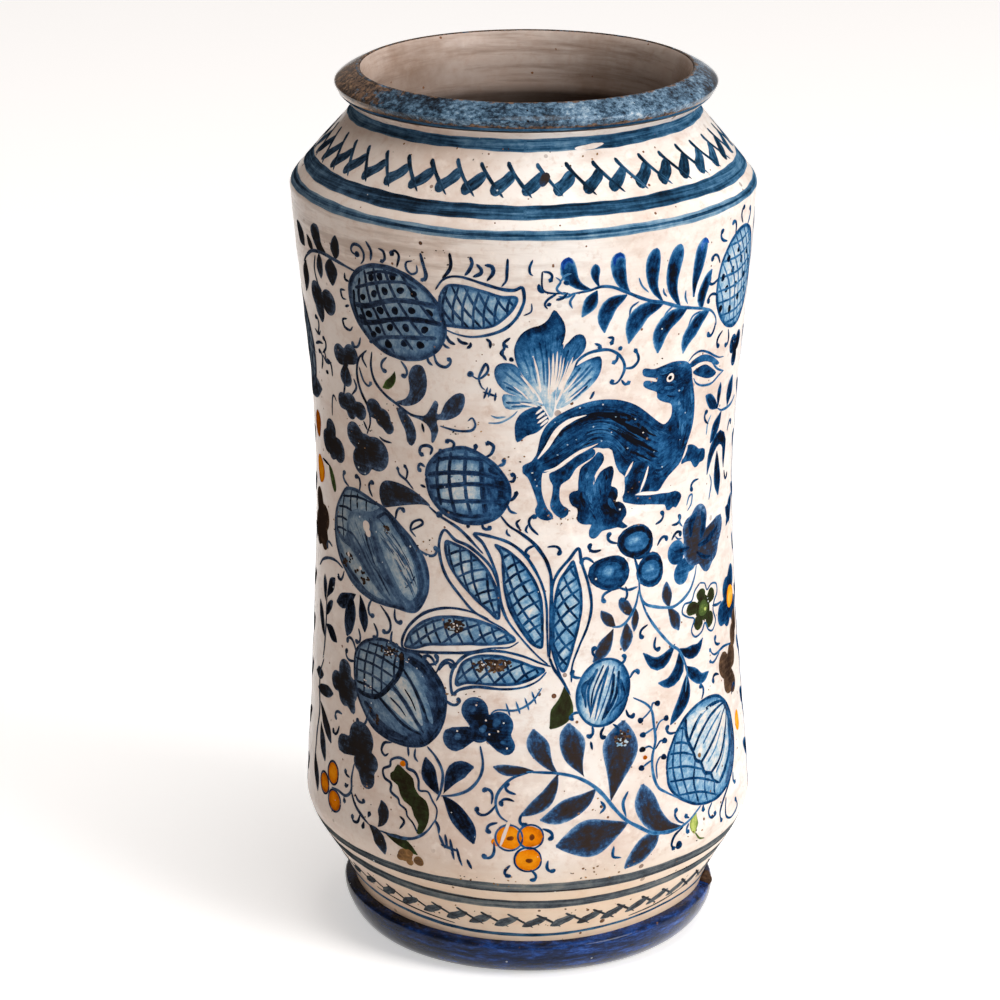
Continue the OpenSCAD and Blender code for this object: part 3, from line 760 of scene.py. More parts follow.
# Leaping doe on the right, and the dark leaf under its belly
def doe():
    begin("doe")
    body = [(40.4, 213.6), (41.6, 214.1), (45, 213.3), (49, 213.9), (53, 214.4), (57, 214), (60.4, 212.8),
            (62.6, 210), (63.4, 206.6), (64.4, 203), (65.6, 198.6), (66, 194.4), (65.2, 189),
            (62.8, 183.2), (60, 178), (57, 175.8), (54.4, 174.2), (52, 171.9), (49.8, 169.8), (46, 170.3),
            (41.5, 170.6), (36, 169), (34.5, 170.6), (35, 174), (35.3, 177.2), (33.2, 179), (31.6, 182),
            (30.6, 185.6), (29.5, 187.8), (26.6, 188), (24, 188.6), (19, 186.8), (13, 183.4), (8, 181.6),
            (5.2, 180.8), (1, 183.4), (3.2, 187), (4, 190), (4.8, 193.6), (6.6, 197.2), (10, 200.4),
            (15, 203), (20, 204.6), (25, 205.2), (30, 204.8), (34, 203.8), (38.5, 201.8), (42.5, 199),
            (46.5, 195.8), (49.5, 193.6), (51.6, 193), (54, 195), (54.3, 197.8), (53.4, 199.7),
            (51, 200.6), (48.5, 201.7), (47, 203.2), (46.8, 204.9), (43, 206.6), (41.2, 207.9),
            (41.2, 209.4), (43, 209.6), (46.4, 208.6), (46.2, 209.8), (42, 211), (40.6, 212)]
    fill(body, 0.72, level=BODY, grain=20, rim=-0.1,
         tone=lambda x, z: 0.78 + 0.08 * math.sin(x / 4 + z / 3))
    back = [(4.6, 190), (8.6, 198), (15, 202), (22, 204), (29, 203.8), (36, 202), (42, 198.4), (48, 194),
            (54, 191)]
    belly = [(5.6, 182.4), (12, 183.6), (19, 187.4), (25, 189.4), (30, 187.4), (35, 181.6), (42, 177),
             (50, 173.4), (57, 177.4)]

    def depth(t, f):
        spine = 0.26 * math.exp(-((f - 0.27) / 0.13) ** 2) * (0.12 < t < 0.8)
        shoulders = 0.3 * math.exp(-((t - 0.66) / 0.15) ** 2 - ((f - 0.48) / 0.3) ** 2)
        flank = 0.08 * math.exp(-((t - 0.4) / 0.14) ** 2 - ((f - 0.66) / 0.22) ** 2)
        chest = 0.06 * math.exp(-((t - 0.86) / 0.1) ** 2 - ((f - 0.6) / 0.3) ** 2)
        return 0.78 + spine + shoulders - flank - chest

    streaks(back, belly, 120, depth)
    streaks([(55, 199), (56, 194), (57.6, 188), (57.4, 181)],
            [(63, 206), (64.8, 199), (64.8, 191), (61.8, 183)], 30,
            lambda t, f: 0.68 + 0.2 * abs(f - 0.4))
    streaks([(42, 212.4), (48, 212.8), (54, 213.4), (60, 211.6)],
            [(46, 205.6), (50, 203), (55, 201), (61, 203)], 26, lambda t, f: 0.66 + 0.14 * f, (0.6, 1.2))
    legs = (((-1.2, 183.5), (1, 184.6), (3.5, 185.4), (5.6, 182.6), (5.2, 179), (5.3, 174.5), (6.2, 171),
             (7.4, 168.3), (9, 166.5), (9.2, 165), (7.5, 164.2), (5, 164.8), (3.4, 166.2), (3, 168.3),
             (3.8, 170), (2.8, 173.5), (1.5, 177), (0.3, 179.5), (-1.2, 180.8), (-1.4, 182.3)),
            ((7.8, 180.5), (9.6, 181.4), (13, 183.2), (17, 186), (20, 187.8), (23, 188.4), (24, 187),
             (23.3, 185.5), (21, 184.2), (18, 182.6), (16.5, 181), (15, 178.5), (12, 176.5), (11.5, 174),
             (11.7, 171), (13, 169), (14.6, 168), (14.5, 166), (12.5, 164.8), (10.5, 165.8), (9, 167.5),
             (8.2, 169.5), (8.9, 173), (9.1, 176.3), (8.2, 178)),
            ((35.3, 170), (38, 170.2), (42, 169.6), (46, 169), (51, 168.7), (55, 168.2), (58, 168.2),
             (60.5, 167), (61.3, 165.5), (60, 163.5), (58.5, 162.2), (57, 162.8), (55.5, 162),
             (53.8, 162.4), (53, 164.3), (50, 165), (46, 165.8), (41, 166.5), (37, 167.6), (35, 168.5)),
            ((60.5, 178), (62.5, 181.5), (63.5, 183), (66, 182.8), (68.5, 181.5), (70.2, 180.3),
             (72.5, 180), (74.2, 179), (74.4, 176.5), (73.3, 175.3), (71.3, 175.2), (70, 174.2),
             (68.3, 174.1), (66.7, 175.6), (65.5, 177), (62.5, 177.3), (60.8, 177)))
    for p in legs:
        fill(p, 0.88, level=BODY + 0.012, grain=60, rim=-0.2)
    for p in (((38.4, 181.2), (41, 181.9), (44, 181.4), (44.3, 179.5), (43, 176.5), (41.8, 173),
               (40.5, 170.4), (36.2, 169), (35.4, 170.4), (35.8, 173), (36.8, 177)),
              ((46, 180), (48, 179.6), (47.7, 176), (46.2, 172.5), (45.5, 170.7), (42.7, 171),
               (44.2, 173.4), (45.3, 176.4)),
              ((9.6, 181), (14, 183.8), (19, 186.8), (22, 187), (20, 185), (15.6, 181.6), (12, 178.6),
               (9.6, 179.4))):
        fill(p, 0.98, level=BODY + 0.03, grain=70, rim=-0.2)
    for p, k in ((((61.3, 212), (64, 213.3), (68, 213.8), (72, 212.8), (76, 210.8), (79.8, 208.2),
                   (78, 207.8), (74, 209.6), (70, 211), (66, 211.2), (62.5, 210.5)), 0.84),
                 (((63.5, 208.8), (67, 209.9), (70.5, 209.8), (74, 208), (78, 205.3), (76, 204.3),
                   (72, 204.6), (68, 206), (64.5, 207.6)), 0.9)):
        fill(p, k, level=BODY, rim=-0.16)
    for p in (((60.5, 213), (63, 214.8), (66.5, 215.4), (70.5, 214.2), (75, 212), (79, 210.3),
               (83, 209.6)),
              ((64, 206.5), (65.5, 204.5), (69, 202.8), (75, 202.1), (80, 203.6), (84, 204.5)),
              ((74.5, 209.5), (79, 206.2), (84, 204.3))):
        stroke(p, 0.8, 0.66)
    for p, w in ((((3.8, 185.8), (7, 190), (9.4, 194), (12, 197), (16, 199.2), (20.4, 200.3)), 1.6),
                 (((6, 181.4), (10, 182.4), (14, 184.9), (18, 187.4), (24.8, 190)), 1.1),
                 (((35.4, 177), (36.6, 179), (38.4, 182)), 0.9),
                 (((44.8, 179.4), (43.6, 175), (41.6, 170.4)), 0.9), (((61, 178.8), (63.4, 182.8)), 0.8),
                 (((35, 176), (35, 172), (34, 169.4)), 0.8)):
        stroke(p, w, 0.5, (0.3, 0.2), paint="bare", level=OVER)
    for x, z in ((9.6, 198.4), (10.6, 187), (3, 178.6), (3.6, 176.4), (26, 190.8), (42, 191.6), (23, 196),
                 (17, 192), (31, 198.6), (36, 187), (47, 184), (57, 203.6), (61, 195), (51, 178),
                 (14, 190.4), (59, 186), (29.6, 193.4), (38.6, 196.8), (2, 181)):
        dot(x, z, rng.uniform(0.16, 0.34), rng.uniform(0.14, 0.28), 0, (0.1, 0.2), level=OVER)
    dot(52.4, 209, 1.6, 1.5, paint="bare", level=OVER)
    dot(52.2, 209, 0.8, level=OVER + 0.05)
    begin("leaf_belly")
    fill([(25, 187), (26.8, 186), (27.2, 184), (26, 182), (24.5, 180), (23.5, 177.5), (23.6, 175.5),
          (24.4, 177.4), (26, 180), (28.5, 181.3), (30.3, 181.5), (31, 179.5), (30.6, 177), (30.2, 174.6),
          (31.5, 174), (32.7, 172.8), (32.8, 170.5), (31.7, 168.6), (33, 168.8), (35, 167.8),
          (36.3, 165.5), (36.2, 163.5), (34.7, 161.6), (37, 159.7), (35, 159.1), (33, 159.8), (30, 159.5),
          (27, 159.2), (25.5, 157.7), (23.8, 156.9), (22.3, 157.8), (22.2, 160), (23, 161.8), (21, 162),
          (19, 162.6), (17.7, 164), (18, 166.5), (17.6, 168), (16, 169), (15, 171), (15, 173),
          (16.5, 174), (18, 174.2), (18, 176.5), (18.2, 179), (18.6, 181.5), (20, 183), (22, 184.2),
          (23.8, 185.8)], 0.7, level=BODY + 0.02, rim=-0.06, grain=70,
         tone=lambda x, z: 0.82 + 0.1 * math.sin(x / 2.2) + 0.08 * math.sin(z / 2.6))
    streaks([(19, 182), (18.6, 176), (19, 170), (23, 163)], [(30, 181), (30, 175), (31, 169), (34, 164)],
            40, lambda t, f: 0.8 + 0.2 * math.cos(9 * f), (0.5, 1.2), BODY + 0.035)


# Branch on the left with dark leaves and clovers
def branch_left():
    begin("branch_left", "umber")
    for p, w in ((((-55.6, 217.6), (-56.6, 212), (-55.4, 207.4), (-51.4, 203.6), (-46.6, 201),
                   (-41, 198.2), (-35, 198)), 1.1),
                 (((-58, 217.6), (-62.4, 213.6), (-64, 208), (-62.6, 202), (-59.6, 197), (-59, 192),
                   (-61, 187.6)), 1.1), (((-59, 217), (-60.4, 214.5), (-58.6, 211.4)), 0.9),
                 (((-66, 206), (-65, 203), (-68, 199.8)), 1.0),
                 (((-30, 195.6), (-24, 194.6), (-19, 195), (-17.4, 197), (-18.4, 199.4), (-20, 198.2)),
                  0.9), (((-36.8, 195.8), (-36, 192.6)), 0.9),
                 (((-82.4, 189), (-81.4, 195.4), (-80, 196.6), (-78.4, 195)), 0.8),
                 (((-55, 188), (-53, 187), (-49.4, 186.8)), 0.8), (((-62.4, 192), (-60.6, 189)), 1.0),
                 (((-91, 217.4), (-87.4, 216.4), (-85.6, 218)), 0.9),
                 (((-92, 212), (-88, 213.4), (-84.6, 213.8)), 1.1),
                 (((-86, 209.4), (-83, 207.6), (-79.4, 208.4)), 1.1),
                 (((-84.4, 212), (-83.4, 208.4)), 0.9),
                 (((-35, 167), (-31, 164.3), (-23, 160), (-15, 152.5)), 1.1)):
        stroke(p, w, 0.82)
    for p in (((-62.6, 211), (-61, 206.6), (-58.6, 205), (-57, 206.8)),
              ((-41, 172), (-44, 174.8), (-46.6, 176.4), (-47.4, 179)),
              ((-44, 174.8), (-43.2, 178), (-44.6, 180.2))):
        stroke(p, 0.9, 0.82, blob=1.7)
    leaf((-46.4, 212.4), (-52, 205.8), 3.2, 0.14, (0.4, 0.8), "green")
    for p in (((-46.8, 201.6), (-43, 200.8), (-38.4, 202.4), (-35, 206), (-34, 211), (-34.8, 215),
               (-36.4, 216.2), (-39, 215.4), (-41, 211.6), (-40.8, 207), (-42.6, 203.6)),
              ((-41.6, 197.8), (-36, 198.4), (-33.6, 201), (-31.4, 204.4), (-30.2, 203), (-31, 200),
               (-29.6, 200), (-27.6, 204), (-24, 207.4), (-21.2, 207.6), (-20.8, 204.6), (-22.8, 200.4),
               (-27, 198), (-31, 197.4), (-30.6, 194), (-32.2, 190), (-33.3, 189.6), (-33.4, 193),
               (-35, 195.6), (-38, 197)),
              ((-46.6, 199.8), (-42.4, 198), (-39.6, 194), (-39.2, 190), (-41, 187.2), (-42.8, 188.4),
               (-43.4, 192), (-45.6, 196))):
        fill(p, 0.86, level=BODY, rim=-0.26, grain=60)
    fill([(-55.8, 166.5), (-55.6, 170.5), (-53, 173), (-47, 173.2), (-41, 171.6), (-37, 169.4),
          (-34.4, 167.2), (-38, 167.2), (-44, 166), (-50, 164.4), (-54, 163.6)], 0.9, level=BODY,
         rim=-0.26, grain=0)
    clover(-68.6, 195.6, [(-74, 196.4, 3), (-69.5, 196.4, 3.8), (-64, 195, 3.2), (-69, 193.6, 2.6)],
           (0.58, 0.94))
    clover(-54, 195, [(-57, 197.4, 3.5), (-53, 194.8, 3.4), (-50.6, 192, 2.4)], (0.58, 0.92))
    clover(-84, 180, [(-84.4, 183.4, 4), (-88.2, 178.6, 4.2), (-79, 177.6, 4.4), (-84, 176, 3)],
           (0.6, 0.96))
    clover(-62.4, 182, [(-68, 186.2, 4.3), (-57, 181.4, 6), (-64.4, 177.4, 5), (-62, 183, 4.5)],
           (0.6, 0.96))
    dot(-31, 164.6, 1.2)
    dot(-83.6, 204, 1.0, 0.8)
    dot(-98, 166, 4.5, 5, 0, (0.6, 0.4), "ochre", BODY)
    dot(-99, 182, 4, 4.6, 0, (0.8, 0.7), "ochre", BODY)
    fill([(-88, 170), (-85.4, 169.6), (-83, 166.6), (-82, 163), (-83.4, 161.8), (-85.8, 164.4)], 0.8,
         "green", BODY, rim=-0.2)
    stroke([(-95, 170.6), (-91, 170.4), (-87, 170)], 0.9, 0.84)


# Checked fruit in the middle, and the stalk that runs down from it
def checked_fruit():
    begin("checked_fruit")
    edge = [(-35.8, 177), (-35, 180.4), (-33.2, 183.4), (-30, 186.4), (-26, 188), (-21, 188.8),
            (-16, 186.8), (-11, 183.4), (-7.4, 179), (-5.8, 175), (-6.4, 171), (-9, 166.8), (-13, 164),
            (-18, 162.8), (-23, 163), (-28, 164.8), (-32, 168), (-34.6, 172)]

    def pale(x, z):
        return max(0.0, 1 - ((x + 23.4) / 9.2) ** 4 - ((z - 175.6) / 9.6) ** 4)

    fill(edge, 0.3, rim=0.12, grain=80,
         tone=lambda x, z: 0.58 - 0.46 * pale(x, z) + (0.1 if x > -12 else 0))
    closed_line(edge, 1.5, 0.72)
    for p, w in ((((-30.6, 185), (-31.6, 179), (-31.2, 172), (-30.2, 168)), 1.2),
                 (((-26.2, 187), (-27, 180), (-26.8, 173), (-25, 165.6)), 1.3),
                 (((-20.8, 188), (-21.4, 180), (-21, 172), (-19, 164.4)), 1.4),
                 (((-15.6, 186.4), (-15.4, 180), (-15, 173), (-14, 165.6)), 1.9),
                 (((-33.4, 182.6), (-28, 184.6), (-21, 185.4), (-15, 185), (-11, 182.8)), 1.4),
                 (((-35.2, 178), (-28, 179.6), (-21, 180.2), (-14, 180), (-8, 178.6)), 1.7),
                 (((-35.2, 173.6), (-28, 175), (-21, 176.2), (-14, 176.4), (-6.6, 175)), 1.7),
                 (((-33.8, 170), (-27, 169.6), (-20, 170.4), (-13, 170.6), (-7.4, 171)), 1.5),
                 (((-30.6, 166.6), (-24, 165.2), (-18, 165.2), (-12, 166.4)), 1.4)):
        stroke(p, w, 0.84, (1, 1))
    for p, w, k in ((((-13, 182.4), (-9.6, 178.8), (-8.4, 174), (-9.6, 169.4)), 3.0, 0.84),
                    (((-13.6, 179), (-12.6, 174), (-12.4, 169)), 2.6, 0.74),
                    (((-31, 167.4), (-24, 164.6), (-16, 164.6)), 1.8, 0.66),
                    (((-32, 184), (-25, 187), (-17, 186.4)), 1.8, 0.66)):
        stroke(p, w, k, (0.6, 0.6), level=BODY)
    for _ in range(46):
        x, z = rng.uniform(-31, -16), rng.uniform(167, 184.6)
        stroke([(x, z), (x + rng.uniform(0.4, 1.2), z + rng.uniform(-0.6, 0.9))], rng.uniform(0.4, 0.8),
               rng.uniform(0.3, 0.66), level=BODY)
    for p in (((-34, 185), (-33.2, 187.4), (-35, 188.2), (-37.4, 187.4), (-38, 185.4), (-36.4, 184.4)),
              ((-36, 180.6), (-37.8, 181.4), (-38.7, 180), (-37.6, 178.6)),
              ((-25.8, 187.4), (-25, 190), (-26.6, 191), (-28.2, 190)),
              ((-19.6, 187.4), (-17.8, 188.4), (-17.2, 190.6)),
              ((-14, 186), (-12, 187.4), (-11.2, 190), (-13, 191.2), (-13.8, 190.2)),
              ((-9.8, 183.2), (-7.8, 184), (-7.8, 186)),
              ((-6, 178), (-4.6, 178), (-4, 179.8), (-5.6, 180.6)),
              ((-5.6, 171), (-4, 172.6), (-3.2, 174.6)),
              ((-15.4, 163), (-15, 161.4), (-13.4, 161), (-12.2, 162.2))):
        stroke(p, 1.1, 0.84, (0.7, 0.9), 1.6)
    for p in (((-38.2, 174), (-36, 173.4)), ((-6.6, 170), (-5.6, 167.6), (-3.2, 166.8)),
              ((-2, 164.8), (-3.4, 163.4), (-2, 161)), ((-6.6, 161.4), (-6.8, 160), (-5.4, 158.8)),
              ((0.6, 163), (-0.2, 161), (0.6, 160))):
        stroke(p, 0.9, 0.82)
    dot(-30, 187, 0.9, 0.7)
    dot(-21, 188.8, 0.7)
    dot(-20.4, 161.6, 0.7)
    stroke([(-9, 166), (-6, 162.5), (-2, 160), (2, 157), (5, 153.5), (7.5, 149), (8.8, 142), (8.3, 125),
            (8, 115.5)], 1.3)
    hooks(4, 157, ((2.6, 162.5, 3.2), (1.6, 154), (9.5, 154)), 2.3)


# Specks scattered over an oval
def scatter(cx, cz, rx, rz, count, inks=(0.9, 1.1), paint="brown", sizes=(0.3, 0.8), tilt=0.0,
            level=OVER):
    c, s = math.cos(math.radians(tilt)), math.sin(math.radians(tilt))
    for _ in range(count):
        turn, out = rng.uniform(0, 6.28), math.sqrt(rng.uniform(0, 1))
        u, v = rx * out * math.cos(turn), rz * out * math.sin(turn)
        size, ink = rng.uniform(*sizes), rng.uniform(*inks)
        dot(cx + u * c - v * s, cz + u * s + v * c, 1.5 * size, size, rng.uniform(-40, 40),
            (ink - 0.1, ink), paint, level)


# Pomegranate at the left with a hatched cap and curls round it
def pomegranate_left():
    begin("pomegranate_left")
    edge = [(-74.7, 165.5), (-69.3, 166.4), (-64, 165.8), (-58.7, 164.3), (-53.3, 162.7), (-48, 159.3),
            (-42.7, 155.3), (-38.7, 150.7), (-36.3, 146.7), (-35.3, 141.3), (-36, 136), (-38.3, 131.6),
            (-41.3, 129.4), (-48, 129.7), (-56.7, 129.7), (-62.7, 130.7), (-69.3, 133), (-75.3, 136.7),
            (-79.3, 140), (-81.7, 144.7), (-82.7, 150), (-81.7, 155.3), (-79.3, 160)]
    fill(edge, 0.5, rim=0.22, grain=-60,
         tone=lambda x, z: 0.52 + 0.08 * math.sin((x * 0.8 + z * 0.55) / 3))
    cap = [(-56, 163), (-61, 160.4), (-68, 159.8), (-72, 157.4), (-73.7, 154), (-74.4, 150), (-77, 147.4),
           (-81.4, 149), (-80.8, 155), (-78.4, 160), (-74.4, 164.6), (-69.3, 165.6), (-64, 165),
           (-58.6, 163.8)]
    fill(cap, 0.2, level=WASH + 0.03, rim=0.16, grain=20)
    hatch(cap, 4.3, 88, 0.9, 0.86)
    hatch(cap, 4.0, 4, 0.9, 0.86)
    fill([(-79.6, 146.6), (-74, 146), (-69.6, 143.6), (-64, 139.4), (-58, 135), (-53, 131.4), (-60, 132),
          (-67, 135), (-73.6, 139.6)], 0.14, level=WASH + 0.03, rim=0.2, grain=-40)
    fill([(-73.4, 151), (-72.6, 156.6), (-68, 158.6), (-62, 157.6), (-60, 153), (-63, 147.6), (-67, 146)],
         0.32, level=WASH + 0.03, rim=0.2, grain=-60)
    fill([(-57.6, 156), (-56, 159.6), (-52.6, 161), (-48, 156.4), (-43, 149.6), (-40, 142), (-39.8, 136),
          (-42.5, 133), (-46.6, 136), (-51.6, 143), (-55.8, 150)], 0.26, level=WASH + 0.03, rim=0.2,
         grain=-60, tone=lambda x, z: 0.1 + 0.026 * max(0, z - 148))
    closed_line(edge, 1.2, 0.72)
    for p, w, k in ((((-82, 150), (-77, 147), (-71, 145.8), (-65, 142), (-60, 137.4), (-55, 133.6),
                      (-50, 130.8)), 1.9, 0.72),
                    (((-73.8, 150.6), (-70, 150), (-65, 146), (-60, 140), (-54, 134)), 1.2, 0.76),
                    (((-60.6, 158), (-58.6, 150), (-54.6, 142), (-49, 134.4), (-44, 130.4)), 2.4, 0.7),
                    (((-63.4, 156), (-62, 149), (-57.6, 141), (-51, 133)), 1.0, 0.82),
                    (((-52, 161.6), (-45, 154.6), (-39.6, 147), (-37.8, 139), (-40, 132)), 2.4, 0.78),
                    (((-78.6, 141.4), (-72, 137), (-63, 132.6)), 1.6, 0.74),
                    (((-57.4, 159), (-52.6, 161.4), (-48, 157)), 1.4, 0.82),
                    (((-44.6, 137), (-42, 139.4), (-40.4, 142)), 0.7, 0.84)):
        stroke(p, w, k, (0.8, 0.5))
    for x, z, r in ((-72.6, 141.4, 2.4), (-66.4, 137.6, 2.6), (-63.4, 136, 2), (-75, 139, 2),
                    (-52.4, 156, 1.8)):
        scatter(x, z, r, 0.7 * r, 9, sizes=(0.2, 0.6))
    for x, z, r in ((-62.6, 155, 1.7), (-61.6, 152.8, 1.2), (-73, 142.6, 0.7), (-66, 139.4, 0.6)):
        dot(x, z, r, r * 1.2, 20, paint="bare", level=OVER + 0.02)
    streaks([(-57, 160.4), (-50, 156), (-43, 148), (-38.4, 139)],
            [(-55.4, 151), (-51, 146), (-45, 138.6), (-41.4, 133)], 34, lambda t, f: 0.78 - 0.4 * f,
            (0.3, 0.8), LINE)
    streaks([(-72, 157), (-68, 152), (-62, 144), (-54, 136)],
            [(-61, 157), (-59, 150), (-55, 142), (-48, 134)], 26, lambda t, f: 0.62, (0.3, 0.8), LINE)
    for b, t, w in (((-68.4, 129.6), (-81, 123.6), 5.4), ((-71, 129.4), (-73.4, 113.6), 7),
                    ((-66, 130), (-63, 117.6), 4.6), ((-90.5, 121), (-92.5, 130), 4),
                    ((-89.5, 122.5), (-82.6, 131.4), 4.4), ((-90, 116), (-84, 122.8), 3.6),
                    ((-91, 108), (-97.5, 119.5), 5), ((-90, 113), (-80, 109.3), 4.4)):
        leaf(b, t, w, 0.04, (0.72, 0.99))
    stroke([(-92, 100), (-90.5, 108), (-90, 116), (-89.5, 123)], 1.0, 0.8)
    stroke([(-100, 131), (-95, 134.6), (-88, 137), (-82, 137.6), (-77, 136.5)], 1.1, 0.72)
    clover(-97, 148, [(-93, 150, 4.6), (-100, 154, 5), (-102, 144, 6), (-94, 142.6, 4.4)], (0.84, 1.0),
           "brown")
    stroke([(-42.6, 157.4), (-39.6, 159), (-37.4, 160.6), (-38.4, 161.8), (-41.4, 160.4), (-42.2, 157.8),
            (-40, 155.6)], 1.0, 0.86)
    hooks(-60, 148,
          ((-78, 134), (-60, 127.4, 3.0), (-53, 124.4, 4.6), (-47.5, 126.8), (-57.5, 119.5), (-49, 118.6),
           (-66.5, 115.6), (-88, 141.5), (-47, 162.4), (-35.6, 151.4, 3.4), (-74.4, 168.6), (-67, 168.8),
           (-60, 168.4)), 2.4)


# Fan of five hatched leaves, and the places where it is worn
def fan():
    hatched("fan_1",
            [(-28.5, 156), (-25, 155), (-20, 153), (-15, 148.5), (-11.5, 143), (-10, 138), (-9.5, 130.5),
             (-13, 133), (-18, 137), (-23, 142), (-27, 147.5), (-28.5, 152)],
            [(-6.5, 129.5), (-8.5, 134), (-9.3, 140), (-11, 145.5), (-14, 150), (-20, 154.7),
             (-25, 156.5), (-29, 159.5), (-31, 155), (-30.5, 149), (-28, 143), (-23, 137), (-18.5, 132.5),
             (-13, 129.5), (-8, 127), (-5, 124.5)], slant=20)
    hatched("fan_2",
            [(-11, 156), (-6, 153.5), (-1, 149), (3, 143), (5, 137), (5.5, 130), (5.5, 123), (5, 120.5),
             (1.5, 122.5), (-2.5, 128), (-6, 134.5), (-7.5, 141), (-8, 147), (-8.5, 152.5)],
            [(7.5, 117), (7.2, 127), (7, 135), (5.5, 142), (2, 149), (-2, 154), (-8, 157.5), (-18, 159.3),
             (-15, 156), (-12, 150), (-10, 144), (-9, 137), (-6.5, 130), (-1.5, 123.5), (4, 117.5),
             (7.5, 114.5)], slant=35)
    hatched("fan_3",
            [(-44.5, 116.8), (-42, 122), (-37, 126.5), (-31, 129), (-24, 129.8), (-16, 129), (-9, 126.5),
             (-4, 123), (-12, 121.5), (-20, 121), (-28, 120), (-35, 119), (-40, 117)],
            [(-13, 130), (-20, 132.3), (-28, 132.6), (-36, 130), (-42, 125), (-45, 120), (-45.3, 116.5),
             (-43, 115.5), (-37, 116), (-28, 117), (-20, 118), (-12, 120), (-6, 120.5), (-2.5, 122.5)],
            slant=30)
    hatched("fan_4",
            [(-24.3, 106), (-24, 109), (-22, 114), (-17, 116.8), (-10, 117.3), (-3, 115.8), (3, 113.6),
             (6, 112.8), (5, 111.5), (0, 109), (-5, 107.8), (-12, 107.5), (-20, 107.5)],
            [(8.5, 113.8), (5, 115), (-1, 117.5), (-8, 119), (-15, 118.8), (-21, 116.8), (-25, 112.5),
             (-26.3, 108), (-25.5, 103), (-23, 104.8), (-17, 106.3), (-8, 106), (-1, 106.8), (4, 109),
             (7, 112)], slant=35)
    hatched("fan_5",
            [(16.5, 150), (17.5, 146), (19, 140), (19.3, 134), (18, 127), (16, 120), (14, 113.5),
             (12.6, 112), (11, 115), (9.5, 121), (9.3, 128), (10, 136), (11.5, 142.5), (14, 146.5)],
            [(15.5, 108), (16, 114), (18.5, 120.5), (21.5, 127), (23, 134), (22, 141), (19.5, 149),
             (18.3, 154), (15, 150.5), (11, 146), (9, 141), (8.5, 133), (8.5, 124), (9.5, 117), (12, 110),
             (15.2, 103.5)], slant=40)
    begin("fan_worn")
    scatter(-12, 113.8, 7.4, 2.2, 90, (0.7, 1.1), sizes=(0.2, 0.6), tilt=6)
    scatter(-25, 126.6, 3.8, 2.0, 46, sizes=(0.2, 0.6))
    scatter(-12, 114.4, 6, 1.6, 8, (0.3, 0.5), "bare", (0.12, 0.26), 6, OVER + 0.03)
    scatter(-25.6, 126, 2.6, 1.6, 7, (0.3, 0.5), "bare", (0.12, 0.32), 0, OVER + 0.03)
    begin("fan_joins")
    stroke([(8, 117), (9.5, 113), (12, 109.5), (15, 104)], 1.2)
    hook(-34, 113.5, 2.4, 120, 1)
    hook(-28.5, 112, 2.4, 60, -1)


# Three berries in the right middle, with leafy stalks below them
def berries():
    begin("berries")
    for x, z, rx, rz in ((40.5, 153.7, 8, 5.8), (30, 144.3, 7.6, 6.4), (46.5, 142.8, 6.3, 5.8)):
        dot(x, z, rx, rz, -8, (0.8, 0.64), level=BODY)
        stroke(oval(x, z, 0.76 * rx, 0.76 * rz, 15, 0.449), 0.26 * rx, 0.94, (1, 0.8), level=BODY + 0.02)
        dot(x - 0.1 * rx, z + 0.1 * rz, 0.34 * rx, 0.3 * rz, 20, (0.6, 0.4), level=BODY + 0.03)
    hooks(39, 147,
          ((24.5, 153.6), (21.8, 149.4), (31, 156), (50.5, 160), (51.6, 152), (58.5, 157.6),
           (58.5, 152.4), (29, 136.6), (35.5, 136.6)), 2.2)
    stroke([(41.5, 141), (42, 135), (44, 131.5), (49, 129.5), (53, 128.5), (57, 128), (62, 129.5),
            (66, 132), (69, 136), (70, 139.5)], 1.1, 0.62)
    stroke([(42, 134), (44.5, 128), (49, 121.5), (55, 115), (59, 112), (62, 106), (62.5, 103), (61, 97)],
           1.1, 0.62)
    stroke([(41.5, 137), (40, 132), (37, 127.5), (34, 125.5), (30.5, 125.5)], 1.0, 0.64)
    stroke([(39.5, 149), (41, 144), (41.5, 139)], 1.0, 0.66)
    stroke([(33, 139), (37, 137.5), (41, 138)], 1.0, 0.66)
    for b, t, w in (((32, 125.5), (26.5, 131.7), 4), ((39.5, 128.5), (33.5, 134.7), 4.4),
                    ((39.5, 131.5), (39, 122.8), 3), ((31, 125), (23.3, 114.2), 5),
                    ((36, 126.6), (35, 116.4), 5), ((54.7, 128), (53.8, 137.3), 4.8),
                    ((54, 128.4), (59, 119.2), 5)):
        leaf(b, t, w, 0.05, (0.42, 0.98), "umber")
    for points, w in (([(57, 114.8), (52, 110.4), (47.4, 110.2), (42.6, 114.6)], 4.6),
                      ([(59.3, 112), (58.4, 105.4), (54, 102.2), (48.6, 103)], 5),
                      ([(59.3, 112.6), (63.4, 110.2), (69, 110.2), (72.6, 113)], 4.4),
                      ([(61.6, 106), (65.4, 102.4), (70, 99.4), (75.2, 100.4)], 4.8),
                      ([(62.5, 103), (61, 97), (57.2, 91.6), (53.2, 87.4)], 5.6)):
        leaf(points[0], points[-1], w, 0, (0.5, 0.95), via=points[1:-1], peak=1.0)
    hook(43.2, 122.3, 2.2, 200, 1)
    hook(48.5, 117, 2.2, 250, 1)


